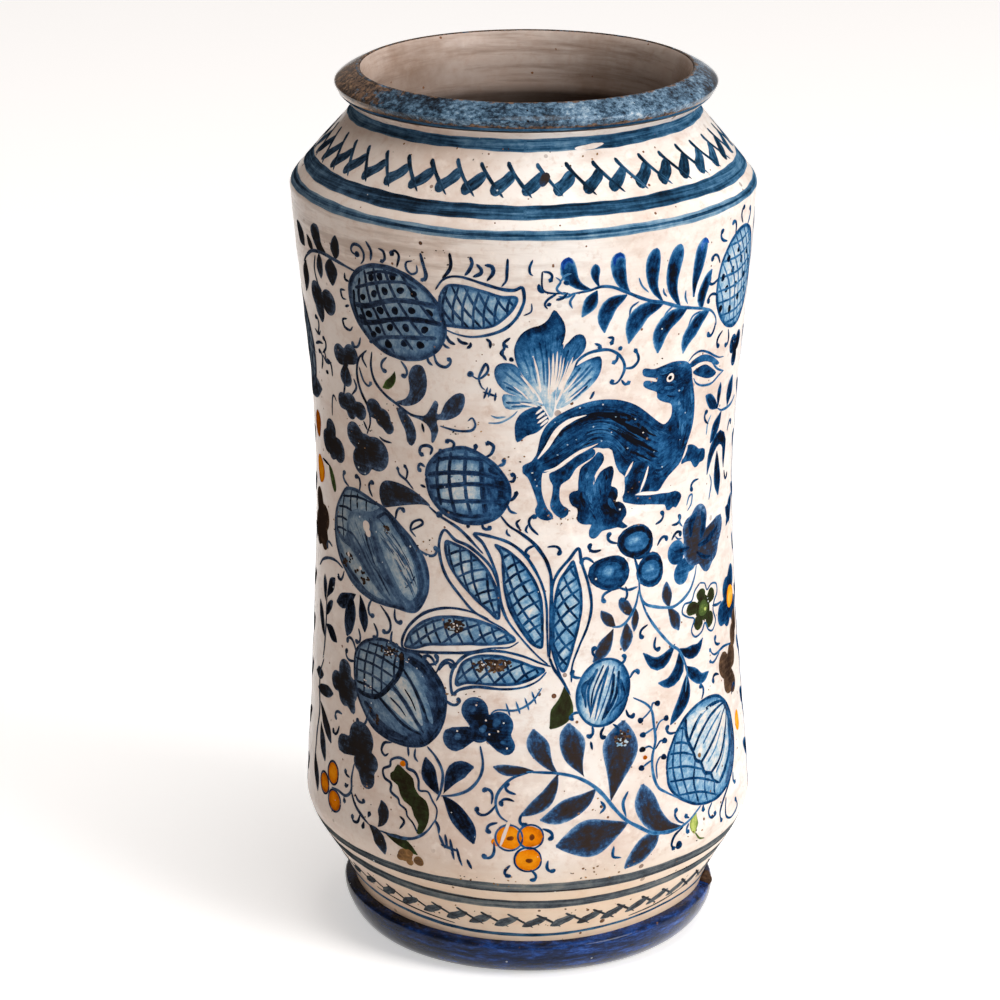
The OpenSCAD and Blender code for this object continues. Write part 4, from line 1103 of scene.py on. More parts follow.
# Dark flower in the right middle, and the leaves at the right edge
def flower_dark():
    begin("flower_dark", "umber")
    clover(70.5, 146.6,
           [(66.4, 153, 4.4), (72, 155.2, 5.2), (86.3, 148.8, 4.8), (82, 142.4, 4.4), (77, 139.4, 4.2),
            (70, 147, 7.6)], (0.46, 0.86))
    clover(61, 142.6, [(58.7, 146.5, 4.3), (61.4, 138.6, 4.0), (66.6, 141.6, 3.4)], (0.46, 0.76),
           level=BODY - 0.02)
    for p, w in ((((66.6, 150), (67, 155), (70.6, 158)), 3),
                 (((73, 148), (74.6, 153), (73.6, 157.6)), 3.2),
                 (((71, 146), (78, 146.4), (86, 149)), 2.4), (((70, 144), (75, 141), (80, 140)), 1.6),
                 (((66, 146.6), (61, 146.6), (57.6, 147)), 1.6)):
        stroke(p, w, 0.95, (0.5, 0.4), level=BODY + 0.03)
    begin("leaves_right")
    stroke([(82, 191.5), (86, 190), (95, 189.5), (102, 191)], 1.0, 0.62)
    for b, t, w in (((82, 191.5), (72.3, 198.4), 4.6), ((82, 192), (82.5, 200.6), 3.2),
                    ((85.6, 190), (77.8, 180.4), 5.4), ((84, 176), (87, 159.6), 5.8),
                    ((91, 190), (95, 200), 7), ((96, 146), (106, 155), 7), ((95, 153), (103, 147), 6)):
        leaf(b, t, w, 0, (0.6, 0.92))
    leaf((92, 168), (77, 169.4), 5.2, 0, (0.6, 0.95), via=[(91, 177), (85, 180.4), (79.4, 177)], peak=1.0)
    stroke([(77, 190.6), (75, 188), (74.6, 184)], 0.7, 0.5)
    stroke([(79, 160), (80.5, 165.5), (79, 169)], 0.8, 0.6)
    for p in (((64.4, 161.6), (65.6, 164.4), (67.4, 164.8), (67, 161.6), (64.8, 159.6)),
              ((60.4, 159), (60.6, 156.4), (62, 154.8)), ((58, 152.4), (59.6, 151), (61.6, 150.8))):
        stroke(p, 0.7, 0.6)
    hooks(80, 175, ((74, 190), (69, 168), (96, 182), (95, 165)), 2.4)


# Green flower at the lower right, and the flowers at the right edge
def flower_green():
    begin("flower_green")
    petals = (((73, 124), (71.9, 130.4), 4.0), ((72.6, 124), (63.6, 125.2), 3.6),
              ((74, 124), (81.6, 127.4), 3.6), ((73.4, 122.6), (68.2, 117.2), 3.8),
              ((74.4, 122.6), (79, 116.2), 4.0))
    for b, t, w in petals:
        leaf(b, t, 1.35 * w, 0, (0.7, 0.96), "green", peak=1.5, club=True)
    dot(73.4, 123.4, 5.0, 4.2, 0, (0.86, 0.92), "green", BODY - 0.02)
    dot(73.4, 123.4, 3.2, 2.6, 0, (0.6, 0.5), "green", OVER)
    dot(74.6, 122.8, 0.8, 0.6, 0, (0.1, 0.1), "green", OVER + 0.03)
    outline = [(71.8, 132.6), (75, 131.6), (76.4, 129), (79.6, 130.2), (83.6, 129.2), (84.2, 126),
               (81.6, 123.6), (80.4, 120.6), (82, 116.6), (79.6, 113.8), (76.4, 115), (74.2, 118),
               (72, 115.4), (68, 114.6), (65.8, 117.4), (67.6, 121), (64.4, 122.4), (61.2, 124.6),
               (62.4, 127.4), (66.4, 127.6), (68.4, 130.6)]
    closed_line(outline, 0.7, 0.66)
    stroke([(80, 122.4), (84, 121.6), (88, 121.6)], 1.0, 0.7)
    clover(94.5, 119.5,
           [(94, 124, 4.4), (88.4, 117, 4.4), (94, 114.6, 3.8), (101, 126, 5), (103, 115, 5)],
           (0.66, 0.94))
    dot(98.4, 120.4, 5.2, 3.6, 10, (0.4, 0.1), "ochre", OVER)
    clover(92, 96.6, [(87.4, 99, 4.6), (90.8, 92.6, 4.8), (96, 100, 4.4), (95.4, 90, 3.4)], (0.66, 0.9),
           "brown")
    clover(102, 108, [(100, 106, 4), (104, 110, 4)], (0.66, 0.9), "brown")
    stroke([(96, 104), (88, 105.4), (80, 105), (76.4, 108)], 0.9, 0.62, blob=1.8)
    stroke([(84, 104.6), (79, 102.6), (76, 103.8)], 0.8, 0.66, blob=1.8)
    hooks(93, 100, ((83, 109), (80, 97)), 2.2)
    dot(97.6, 75.6, 2.4, 3.6, 0, (0.4, 0.25), "ochre", BODY)


# Streaked egg-shaped fruit in the lower middle, and the green leaf beside it
def egg():
    begin("egg")
    c, s = math.cos(0.33), math.sin(0.33)

    def spin(p):
        return [(27 + u * c + v * s, 103.4 + v * c - u * s) for u, v in p]

    def across(x, z):
        return (x - 27) * c - (z - 103.4) * s

    edge = spin(oval(0, 0, 9.4, 11.6, 16, math.pi / 8))
    fill(edge, 0.4, rim=0.3, grain=70, tone=lambda x, z: 0.06 + 0.4 * abs(across(x, z) + 2) / 9)
    closed_line(edge, 1.0, 0.7)
    for f in (-0.86, -0.74, -0.6, -0.42, -0.26, -0.1, 0.14, 0.32, 0.5, 0.62, 0.74, 0.86):
        h = 10.6 * math.sqrt(1 - f * f)
        j, k = rng.uniform(-0.9, 0.9), rng.uniform(0.7, 1.0)
        stroke(spin([(6.4 * f + j, h * k), (9.4 * f, 0.6 * j), (6 * f - j, 0.6 - h)]),
               rng.uniform(0.6, 1.3), rng.uniform(0.6, 0.88), (1, 0.5))
    leaf((13, 106.6), (8, 92.4), 7, 0.14, (0.74, 0.98), "green")
    hooks(27, 103,
          ((24, 117.2), (34, 113.4), (38.6, 108), (17, 96.4), (22, 90.6), (26.4, 89.8), (31, 90.4),
           (36.4, 95), (17.4, 110.4)), 1.7)


# Pomegranate at the lower left with a hatched cap
def pomegranate_low():
    begin("pomegranate_low")
    edge = [(-68.3, 106), (-67.3, 110), (-64, 113.7), (-59.3, 116), (-54, 117.2), (-49.3, 116.8),
            (-45.3, 115.4), (-40, 115.3), (-36, 113.3), (-32, 109.3), (-29, 104.7), (-27.9, 99.3),
            (-28.7, 93.3), (-30.7, 88.7), (-34.7, 84.4), (-40, 82.6), (-46.7, 82.5), (-52.7, 83.6),
            (-58, 86), (-62, 90), (-64.7, 93.3), (-67, 98), (-68, 102)]
    fill(edge, 0.6, rim=0.2, grain=-40, tone=lambda x, z: 0.52 + (0.2 if x > -36 or z < 87 else 0))
    cap = [(-45.6, 114.4), (-46, 108), (-49.5, 102.7), (-55.3, 97.4), (-62, 96.4), (-65.4, 97),
           (-67.2, 102), (-67.6, 106), (-66.6, 109.8), (-63.6, 113), (-59, 115.2), (-54, 116.4),
           (-49.3, 116)]
    fill(cap, 0.3, level=WASH + 0.03, rim=0.2, grain=20)
    hatch(cap, 4.2, 84, 1.0, 0.84)
    hatch(cap, 4.0, -8, 1.0, 0.84)
    stroke([(-45.4, 114.6), (-45.8, 108), (-49.4, 102.6), (-55.3, 97), (-62, 96), (-66, 97)], 2.0, 0.92,
           (1, 0.7))
    for p, k in ((((-48, 103.5), (-46, 105.9), (-43, 105.2), (-40, 101.4), (-37.4, 96), (-36.3, 90.6),
                   (-38, 91.5), (-42, 97), (-46, 100.6)), 0.02),
                 (((-54, 97.6), (-51.5, 100), (-48.5, 100), (-45.5, 97.8), (-42, 94.2), (-39, 90.2),
                   (-37.6, 88.2), (-42, 90), (-48, 93.6), (-53, 96.4)), 0.04),
                 (((-44, 109.6), (-41.6, 109.4), (-37.4, 104.4), (-33.6, 97), (-32.4, 91.6), (-35, 94),
                   (-38, 99.6), (-42.4, 106)), 0.26),
                 (((-58.6, 95), (-55.6, 95.2), (-48, 89.6), (-42, 86), (-47, 86.2), (-54, 90)), 0.36)):
        fill(p, k, level=WASH + 0.04, rim=0.14, grain=-45)
    for p, w in ((((-49.5, 102), (-45, 98.6), (-41, 94), (-35.8, 87.8)), 1.4),
                 (((-45, 109), (-41, 104.4), (-37, 98), (-34, 91.4)), 1.2),
                 (((-55, 96.8), (-50, 93.4), (-44, 89.4), (-36.6, 87)), 1.2),
                 (((-50, 97.8), (-46, 95.4), (-43, 92.4)), 0.8),
                 (((-44, 102), (-41, 98.6), (-39, 95)), 0.7),
                 (((-43, 113), (-36.4, 110), (-31.8, 103.4), (-30.4, 96), (-32.4, 89.4)), 3.4),
                 (((-62, 93.6), (-57, 89.4), (-50, 85.6), (-42, 84.6)), 2.6)):
        stroke(p, w, 0.9, (0.8, 0.5), level=LINE)
    closed_line(edge, 1.1, 0.76)
    scatter(-57, 89.6, 3.4, 1.5, 20, sizes=(0.2, 0.5), tilt=-40)
    scatter(-50, 113.4, 5.6, 2.0, 30, sizes=(0.2, 0.6), tilt=-10)
    scatter(-48, 113, 6, 2.2, 9, (0.3, 0.5), "bare", (0.12, 0.3), -10, OVER + 0.03)
    scatter(-61, 99.6, 3, 1.6, 6, (0.3, 0.5), "bare", (0.15, 0.3), 0, OVER + 0.03)
    hooks(-49, 100,
          ((-28.4, 112, 3.8), (-26, 100.4, 2.6), (-62.6, 87.4, 3.6), (-70, 111.4, 3), (-70.4, 107, 3),
           (-77, 84), (-78.5, 78.6), (-33.4, 113.6)), 2.4)


# Clovers, orange berries and leaves at the bottom left
def lower_left():
    begin("lower_left", "umber")
    clover(-74, 96.5,
           [(-74, 101.2, 3.9), (-79.2, 96, 3.6), (-70.6, 95.2, 4.8), (-73.4, 92.6, 4.0),
            (-68.6, 88.8, 2.0)], (0.6, 0.94))
    clover(-63, 74.6,
           [(-63.5, 79.4, 6.4), (-73, 75, 3.9), (-58, 72.4, 3.6), (-59.4, 66.6, 3.7), (-63, 71.6, 3.6)],
           (0.6, 0.94))
    stroke([(-66.3, 70), (-67.4, 65), (-67.4, 60), (-70.6, 57.2), (-75.6, 57.6), (-80, 57.2)], 1.1, 0.74)
    stroke([(-67.4, 60), (-65, 55.6), (-61.3, 52.7), (-57.7, 50.6)], 1.1, 0.74)
    for x, z, rx, rz in ((-79.1, 62.7, 3.5, 3.9), (-85.6, 57, 3.4, 3.7), (-77.7, 53.1, 4.1, 3.6)):
        dot(x, z, rx, rz, 0, (0.75, 0.45), "ochre", BODY)
        closed_line(oval(x, z, rx + 0.2, rz + 0.2, 11, 0.571), 0.8, 0.8)
    leaf((-53.6, 51), (-52.4, 60.8), 5, -0.18, (0.6, 0.92))
    leaf((-57.7, 50.8), (-51.4, 41), 5.2, 0, (0.6, 0.92), via=[(-53, 47.4)])
    for b, t, w in (((-100, 93), (-90.5, 94.4), 4.4), ((-97, 88), (-81.6, 90.4), 4.8),
                    ((-93, 84), (-81.6, 72.6), 5), ((-92, 77), (-86, 64.6), 5),
                    ((-97, 65), (-92, 51.6), 5)):
        leaf(b, t, w, 0, (0.6, 0.92))
    stroke([(-91, 100), (-95, 92), (-94, 82), (-96, 70), (-97, 60)], 1.1)
    leaf((-50.4, 49.6), (-37.2, 44.6), 3.6, 0, (0.7, 0.92), "green", via=[(-43, 48)])
    for x, z, rx, rz in ((-42.4, 43.2, 2.9, 2.6), (-44.4, 42, 1.6, 1.4), (-41, 40.8, 1.6, 1.4),
                         (-37.2, 42, 1.9, 2.0), (-40.4, 44.6, 1.4, 1.4)):
        dot(x, z, rx, rz, rng.uniform(0, 60), (0.42, 0.55), "brown", OVER)
    for p in (((-68.4, 64.4), (-70.6, 65), (-71.4, 66.8)), ((-69, 61.8), (-70.2, 60.8), (-71, 61.8)),
              ((-65.2, 59.6), (-63.4, 57.6), (-61, 57.6), (-60.6, 59.2)),
              ((-62.2, 53.2), (-63.4, 50), (-65.8, 49.8), (-66.4, 52)), ((-60.2, 51), (-60.8, 48.2)),
              ((-58.4, 53), (-57.4, 55.4)), ((-71.6, 56.6), (-71, 54.2))):
        stroke(p, 1.0, 0.84, blob=1.8)


# Dark clover in the lower middle with its stalk and leaves, and the green leaf
def clover_middle():
    begin("clover_middle")
    clover(-15.5, 91.5,
           [(-17.5, 98, 4.8), (-9, 93.5, 4.8), (-7, 86.5, 3.5), (-24.2, 87.7, 4.6), (-16, 91, 4)],
           (0.66, 0.97))
    for x, z, r in ((-18.6, 98.6, 1.6), (-10, 94.4, 1.7), (-23.4, 88.4, 1.4), (-14.6, 92, 1.5),
                    (-7.8, 87.6, 1.0)):
        dot(x, z, r, r * 0.8, rng.uniform(0, 90), (0.8, 0.64), level=LINE)
    # Small white dots on the dark clover: painted glints
    for x, z in ((-17, 100), (-9.4, 91.4), (-12.4, 90.2), (-6.4, 85.6), (-23.6, 90.4), (-13.6, 95)):
        dot(x, z, 0.32, paint="bare", level=OVER)
    stroke([(-12, 97.4), (-9.6, 98.8), (-4, 98.8), (0, 100.4), (3, 103), (5.4, 106.6)], 0.8, 0.62)
    for x, z in ((-6, 98.7), (-2.6, 99.4), (0.4, 100.7), (2.8, 102.8)):
        stroke([(x + 0.6, z - 1.8), (x, z), (x - 0.9, z + 2.6)], 0.7, 0.64)
    stroke([(-15.5, 86), (-14.5, 80), (-15.5, 75), (-19, 70.5), (-24, 68), (-29, 67)], 1.1, 0.7)
    stroke([(-34.5, 83.5), (-31, 80), (-28.5, 75), (-29, 69), (-30.5, 65)], 1.1, 0.7)
    leaf((-29.5, 67), (-35, 79.6), 5.6, 0.06, (0.7, 0.98))
    leaf((-28, 68), (-17.6, 78.4), 6.2, 0, (0.7, 0.98), via=[(-25.4, 73.4), (-22, 77.4)], peak=1.4)
    leaf((-28.5, 67.3), (-17.2, 51.6), 6.6, 0.06, (0.7, 0.98))
    begin("leaf_green")
    fill([(-45.9, 75), (-42.7, 73.4), (-39.5, 71.3), (-38.8, 68.4), (-37, 65.9), (-34.5, 64.5),
          (-33.1, 61.3), (-33.4, 57), (-35.6, 52.7), (-37.7, 52.4), (-37, 55.6), (-38.8, 58.4),
          (-39.9, 61.3), (-42.7, 62.7), (-44.5, 64.9), (-45.6, 67.7), (-48.4, 69.1), (-48.8, 71.3),
          (-47.4, 72.4)], 0.92, "green", BODY, rim=-0.1)
    stroke([(-37.4, 52.7), (-39.1, 55.6), (-41.3, 57.7), (-42, 59.9), (-44.5, 61.3), (-45.2, 63.1),
            (-48.4, 64.9), (-48.4, 67.7), (-51.3, 69.1), (-52, 72), (-49.1, 73.8), (-48.8, 75.9),
            (-45.6, 77.4), (-42.4, 76.6), (-42, 74.5), (-39.1, 73.8), (-37.4, 71.3), (-37, 67.7),
            (-33.8, 67.7), (-32, 64.9), (-30.2, 62), (-30.6, 58)], 1.0, 0.78)
    stroke([(-52.7, 49.9), (-45.6, 49.5), (-39.1, 50.2), (-34.1, 53.4), (-30.6, 58.4)], 1.0, 0.7)
    dot(-43.8, 75.7, 1.2, 1.0, 0, (0.6, 0.7), "ochre", OVER)
    stroke([(-44.4, 57), (-42.6, 55.4), (-44.4, 52.4)], 1.0, 0.84)
    stroke([(-50, 78), (-51.6, 76.8), (-53.2, 78.4), (-52, 81.2), (-48.6, 82)], 1.0, 0.8)
    stroke([(-42, 82.4), (-41.6, 78.6)], 0.9, 0.8)
    stroke([(-39, 82), (-39.2, 79), (-37.8, 77.4)], 0.9, 0.8)
    hook(-12.5, 68.5, 2.6, 80, 1)
    stroke([(-31, 58.4), (-29.6, 56), (-29.4, 53.4)], 1.0, 0.76)
    for a, b in (((-29.4, 53.4), (-27, 48.8)), ((-27.2, 53.8), (-26.2, 48.8)),
                 ((-25.4, 52.4), (-23.8, 45.2)), ((-23, 49.6), (-21.2, 43)), ((-19.4, 46), (-18, 42.2)),
                 ((-28.6, 50), (-22.2, 48.4))):
        stroke([a, b], 1.0, 0.84)


# Long spray of dark leaves at the bottom, and the orange berries below its left end
def spray_low():
    begin("spray_low", "umber")
    stroke([(0, 77.5), (5, 77.3), (11, 76.7), (17, 75), (22, 72), (26, 68), (30, 62.5), (34, 58),
            (39, 54.5), (44, 51.5), (50, 50.6), (55, 50.6), (60, 52), (66, 55.4)], 1.3, 0.64)
    for b, t, w, c, k in (((2.5, 78), (-11, 79), 4.2, 0.05, 1.2), ((11, 76.5), (2.5, 92.4), 7, 0.1, 1.5),
                          ((19.5, 75), (14.5, 94), 8.8, 0.06, 1.5),
                          ((28.5, 65), (34, 92.8), 12.2, -0.02, 1.6),
                          ((10.5, 76.3), (-2, 62.2), 5.4, 0.12, 1.0),
                          ((23.5, 70.5), (4.6, 60.8), 7.4, 0.08, 1.1),
                          ((34.5, 57), (9.8, 51.4), 12, 0.02, 1.1),
                          ((46.5, 51), (34, 40), 8, -0.05, 1.0)):
        leaf(b, t, w, c, (0.36, 0.94), peak=k)
    leaf((57, 50.8), (40.4, 69.4), 9.4, 0, (0.36, 0.94), via=[(50, 52), (44.8, 56), (41.8, 62)], peak=1.5)
    scatter(33.6, 87.4, 3.4, 2.6, 26, (0.6, 1.1), sizes=(0.2, 0.6), tilt=50)
    scatter(32.6, 85.6, 3.0, 2.6, 12, (0.1, 0.3), "cobalt", (0.2, 0.5), 50)
    stroke([(0, 77), (-5, 75), (-9, 70.5), (-10, 66), (-8.5, 62), (-5, 59.5)], 1.0, 0.64)
    hooks(-2, 68,
          ((-5, 71.4), (-6, 67), (-13, 64, 3.4), (-1, 61.4), (7, 56), (-11, 58), (-12, 50, 3), (-6, 42.6),
           (2.4, 41), (8, 44.5)), 2.1)
    for x, z, r in ((-5.5, 54.5, 4.3), (1.6, 55, 4.0), (0.7, 46.8, 4.2)):
        dot(x, z, r, r * 0.97, 0, (0.6, 0.4), "ochre", BODY)
        closed_line(oval(x, z, r + 0.2, r + 0.2, 11, 0.571), 0.7, 0.72)
        dot(x + 0.4, z - 0.2, 1.2, 0.8, rng.uniform(0, 90), (0.85, 0.95), "ochre", OVER)
    dot(-9.6, 52.8, 1.7, 1.5, 0, (0.6, 0.4), "ochre", BODY)
    stroke([(-4.6, 62.6), (-6.6, 57), (-8.4, 51.4)], 1.2, 0.5, (0.3, 0.6), paint="bare",
           level=OVER + 0.02)
    stroke([(35, 68), (33, 64), (34, 59)], 1.1, 0.7)
    stroke([(25, 66), (26.4, 63.6), (24.6, 61.6)], 1.1, 0.7)
    stroke([(29.4, 49.6), (29, 46), (32, 45)], 1.0, 0.76)
    stroke([(22, 87), (22.5, 84)], 1.0, 0.76)


# Pomegranate at the bottom right and the curls round it
def pomegranate_right():
    begin("pomegranate_right")
    edge = [(50.6, 72.1), (51.4, 76.4), (53.5, 80.7), (56, 84.3), (60.3, 88.2), (66, 90.7), (72.4, 91.6),
            (78.9, 90.7), (84.6, 87.5), (88.9, 82.9), (91.4, 76.4), (91.4, 70), (89.6, 63.6),
            (85.3, 58.6), (78.9, 55.8), (72.4, 55.2), (65.3, 56.2), (59.6, 58.6), (54.6, 62.1),
            (51.4, 66.4)]
    split = [(60.6, 87.9), (60.3, 83.6), (61.4, 79.3), (63.5, 75.4), (64.6, 72.1), (67.1, 70.4),
             (68.9, 66.4), (72.4, 65), (73.9, 62.1), (77.4, 60)]
    fill(edge, 0.3, rim=0.22, grain=40, tone=lambda x, z: 0.29 if x < 84 else 0.42)
    fill([(60.6, 87.4), (60.4, 83.6), (61.6, 79.4), (63.7, 75.6), (64.8, 72.2), (67.3, 70.6), (69, 66.8),
          (72.5, 65.2), (74, 62.4), (77.4, 60.4), (82, 63.6), (85.6, 69.3), (87, 76.4), (86, 83),
          (81.7, 87.4), (73, 89), (66, 88.8)], 0.08, level=WASH + 0.03, rim=0.12, grain=30,
         fan_from=(86, 86))
    part = [(51.2, 70), (52, 76), (54, 80.4), (57, 84.4), (60, 87), (60, 83.6), (61.2, 79.3),
            (63.3, 75.4), (64.4, 72.1), (66.9, 70.4), (68.7, 66.4), (72.2, 65), (73.7, 62.1), (77, 60),
            (76, 56.6), (70, 56), (64, 57.2), (58, 60), (53.4, 64.4)]
    hatch(part, 4.6, 92, 0.9, 0.74, 0.1)
    hatch(part, 4.4, -16, 0.9, 0.74, 0.06)
    stroke(split, 1.4, 0.82, (1, 0.7))
    for p, w, k in ((((61.4, 79.3), (66, 85), (73.1, 88.2), (81.7, 87.9), (86, 86.1)), 1.3, 0.82),
                    (((63.5, 75.4), (68.1, 80.7), (74.6, 85), (81.7, 86.4), (86, 86.1)), 1.2, 0.8),
                    (((67.1, 70.4), (73.1, 74.3), (78.9, 78.6), (83.1, 82.9), (86, 85)), 1.2, 0.8),
                    (((72.4, 65), (78.1, 67.9), (82.4, 72.9), (85.3, 78.6), (86.4, 83.6)), 1.3, 0.8),
                    (((77.4, 60), (82.4, 63.6), (86.7, 69.3), (88.1, 76.4), (87.1, 82.9)), 1.8, 0.7),
                    (((64.4, 82.4), (68, 86), (72, 87.6)), 0.7, 0.5),
                    (((69, 76.4), (75, 81), (82, 84.4)), 0.9, 0.5),
                    (((71, 69.4), (77, 73.4), (82, 79)), 0.7, 0.45),
                    (((75.6, 64), (81, 68.6), (84.6, 75)), 0.8, 0.5),
                    (((66, 79.6), (72, 83.6), (79, 85.6)), 0.6, 0.4)):
        stroke(p, w, k, (1, 0.5))
    stroke([(84, 87), (88.4, 80.4), (89.8, 72), (87.4, 63.4), (82, 58.4)], 4.0, 0.68, (0.4, 0.5),
           paint="umber", level=LINE - 0.02)
    closed_line(edge, 1.1, 0.68)
    stroke([(38, 100), (43, 97), (45.3, 94), (46, 89.3), (46.4, 83.6), (44.9, 77.9), (44.9, 72.1),
            (46.7, 67.1), (50.3, 64.3), (56, 60.7)], 1.1, 0.64)
    for p in (((45.4, 95), (43, 93), (40.6, 91.6)), ((46, 88), (43.4, 87), (41.4, 86.4)),
              ((45.6, 80.6), (43.6, 82), (41, 81.4)), ((44.8, 77), (42.4, 76), (40.4, 75)),
              ((45, 94), (45.8, 96.6), (47.8, 96.2)), ((46.4, 86), (48.4, 89.4), (51.4, 90.2)),
              ((46.2, 80.4), (48.4, 82.8), (50.3, 82.6)),
              ((46.4, 70), (46.4, 74.6), (48, 77.2), (49.7, 77))):
        stroke(p, 0.7, 0.66)
        dot(p[-1][0], p[-1][1], 1.2, 1.0, 0, (0.84, 0.95))
    dot(42, 78.4, 0.8, paint="ochre", level=OVER)
    dot(66.6, 73.2, 0.9, 0.8, 0, (0.4, 0.5), "brown", OVER)
    for p in (((57.4, 51.6), (55, 53), (53.4, 55.6), (54.4, 58)),
              ((60, 52.8), (58.6, 53.6), (58.2, 54.8)),
              ((57, 50.5), (53, 48.5), (51.5, 45.5), (53.4, 42.8)),
              ((59.6, 51), (58.4, 49), (59.6, 47.6)), ((67.6, 55.2), (67, 53.8), (68.2, 53.2)),
              ((72.4, 54.6), (70.2, 52), (71, 49.6), (73.4, 49.4), (74.2, 51)),
              ((86, 58.6), (80, 53), (77, 49), (78, 45.4)),
              ((82, 53), (81, 47), (86, 44.4), (91, 47), (89.4, 50.4)),
              ((88.6, 60), (88.6, 57), (91, 55.4))):
        stroke(p, 0.9, 0.76, blob=2.0)
    dot(55, 44.2, 1.3, 2.0, 30, (0.84, 0.95))
    hooks(71, 74, ((95, 88), (70, 94.4), (53.6, 85.6)), 2.2)
    leaf((63.6, 53.4), (62, 46.6), 4.0, -0.1, (0.4, 0.1), "green")
    stroke([(62.2, 47), (65, 43.8), (68.4, 42.6)], 0.7, 0.5, paint="green")


# Column of leaves on the right side
def side_column():
    begin("side_column")
    stroke([(113, 40), (117, 70), (112, 100), (118, 130), (112, 165), (117, 200), (113, 254)], 1.3)
    for k in range(11):
        z = 50 + 18.6 * k
        leaf((115, z), (123 + 2 * math.sin(k), z + 9), 5.5, 0.06)
        leaf((115, z + 7), (106.5 - 2 * math.cos(k), z + 15), 5.2, -0.06)


# Hatched fruit and column of leaves on the left side
def side_left():
    begin("side_left", "umber")
    seam = -ROUND / 4
    edge = oval(seam, 208, 23, 18, 18, math.pi / 9)
    fill(edge, 0.36, rim=0.26, grain=60)
    closed_line(edge, 1.6, 0.74)
    hatch(edge, 5.2, 62, 1.2, 0.78)
    hatch(edge, 5.2, 118, 1.2, 0.78)
    stroke([(seam, 190), (seam - 2, 150), (seam + 2, 110), (seam - 1, 70), (seam, 41)], 1.3)
    for side in (-1, 1):
        leaf((seam + 4 * side, 189), (seam + 27 * side, 196), 7.6, 0.06 * side, (0.5, 0.86))
        for k in range(8):
            z = 47 + 17 * k + 3.5 * side
            leaf((seam, z), (seam + 11 * side, z + 8 + math.sin(k)), 5.6, 0.06 * side, (0.6, 0.92))


# Pits and specks in the glaze
def pits():
    begin("pits")
    for x, z, wide, high, count in ((-22, 197, 8, 5, 12), (12, 166, 7, 4, 16), (-4, 184, 4, 6, 8),
                                    (-36, 154, 6, 5, 8), (54, 212, 12, 6, 9), (20, 64, 8, 4, 8),
                                    (-12, 38, 14, 3, 14), (30, 40, 16, 4, 16), (-66, 186, 9, 8, 10),
                                    (-50, 196, 8, 5, 10), (-80, 150, 6, 8, 8), (-60, 60, 7, 8, 9),
                                    (-22, 103, 9, 3, 12), (40, 170, 9, 6, 8), (-30, 254, 14, 3, 10),
                                    (60, 46, 7, 4, 7), (0, 21, 60, 4, 26), (-10, 284, 50, 3, 14)):
        scatter(x, z, wide, high, count, (0.3, 1.0), sizes=(0.1, 0.3), level=LINE)


# Leaf spray on the back, where the front has the doe
def back_middle():
    begin("back_spray")
    stroke([(10, 160), (20, 170), (32, 180), (44, 192), (52, 206), (60, 216)], 1.5)
    for b, t, w in (((16, 166), (4, 182), 8), ((24, 173), (14, 197), 9), ((34, 182), (26, 209), 9),
                    ((44, 192), (40, 213), 8), ((18, 168), (34, 164), 7), ((30, 178), (52, 176), 9),
                    ((42, 190), (66, 190), 8), ((50, 202), (72, 206), 7)):
        leaf(b, t, w, 0.06)
    hooks(35, 185, ((8, 196), (58, 166), (70, 178), (64, 199), (44, 168)))


# The front, then most of it mirrored on the back
EVERYWHERE = (sprig_left, pineapple, ticks_row, leaf_top, flower, spray_top, fruit_right, branch_left,
              checked_fruit, pomegranate_left, fan, berries, flower_dark, flower_green, egg,
              pomegranate_low, lower_left, clover_middle, spray_low, pomegranate_right)
bands()
for draw in EVERYWHERE:
    draw()
doe()
side_column()
side_left()
pits()
pen["sign"], pen["shift"] = -1, ROUND / 2
for draw in EVERYWHERE + (side_column, back_middle):
    draw()


# Materials, with colours given as seen on a screen
def linear(r, g, b):
    parts = [c / 255 / 12.92 if c < 10.4 else ((c / 255 + 0.055) / 1.055) ** 2.4 for c in (r, g, b)]
    return (*parts, 1.0)


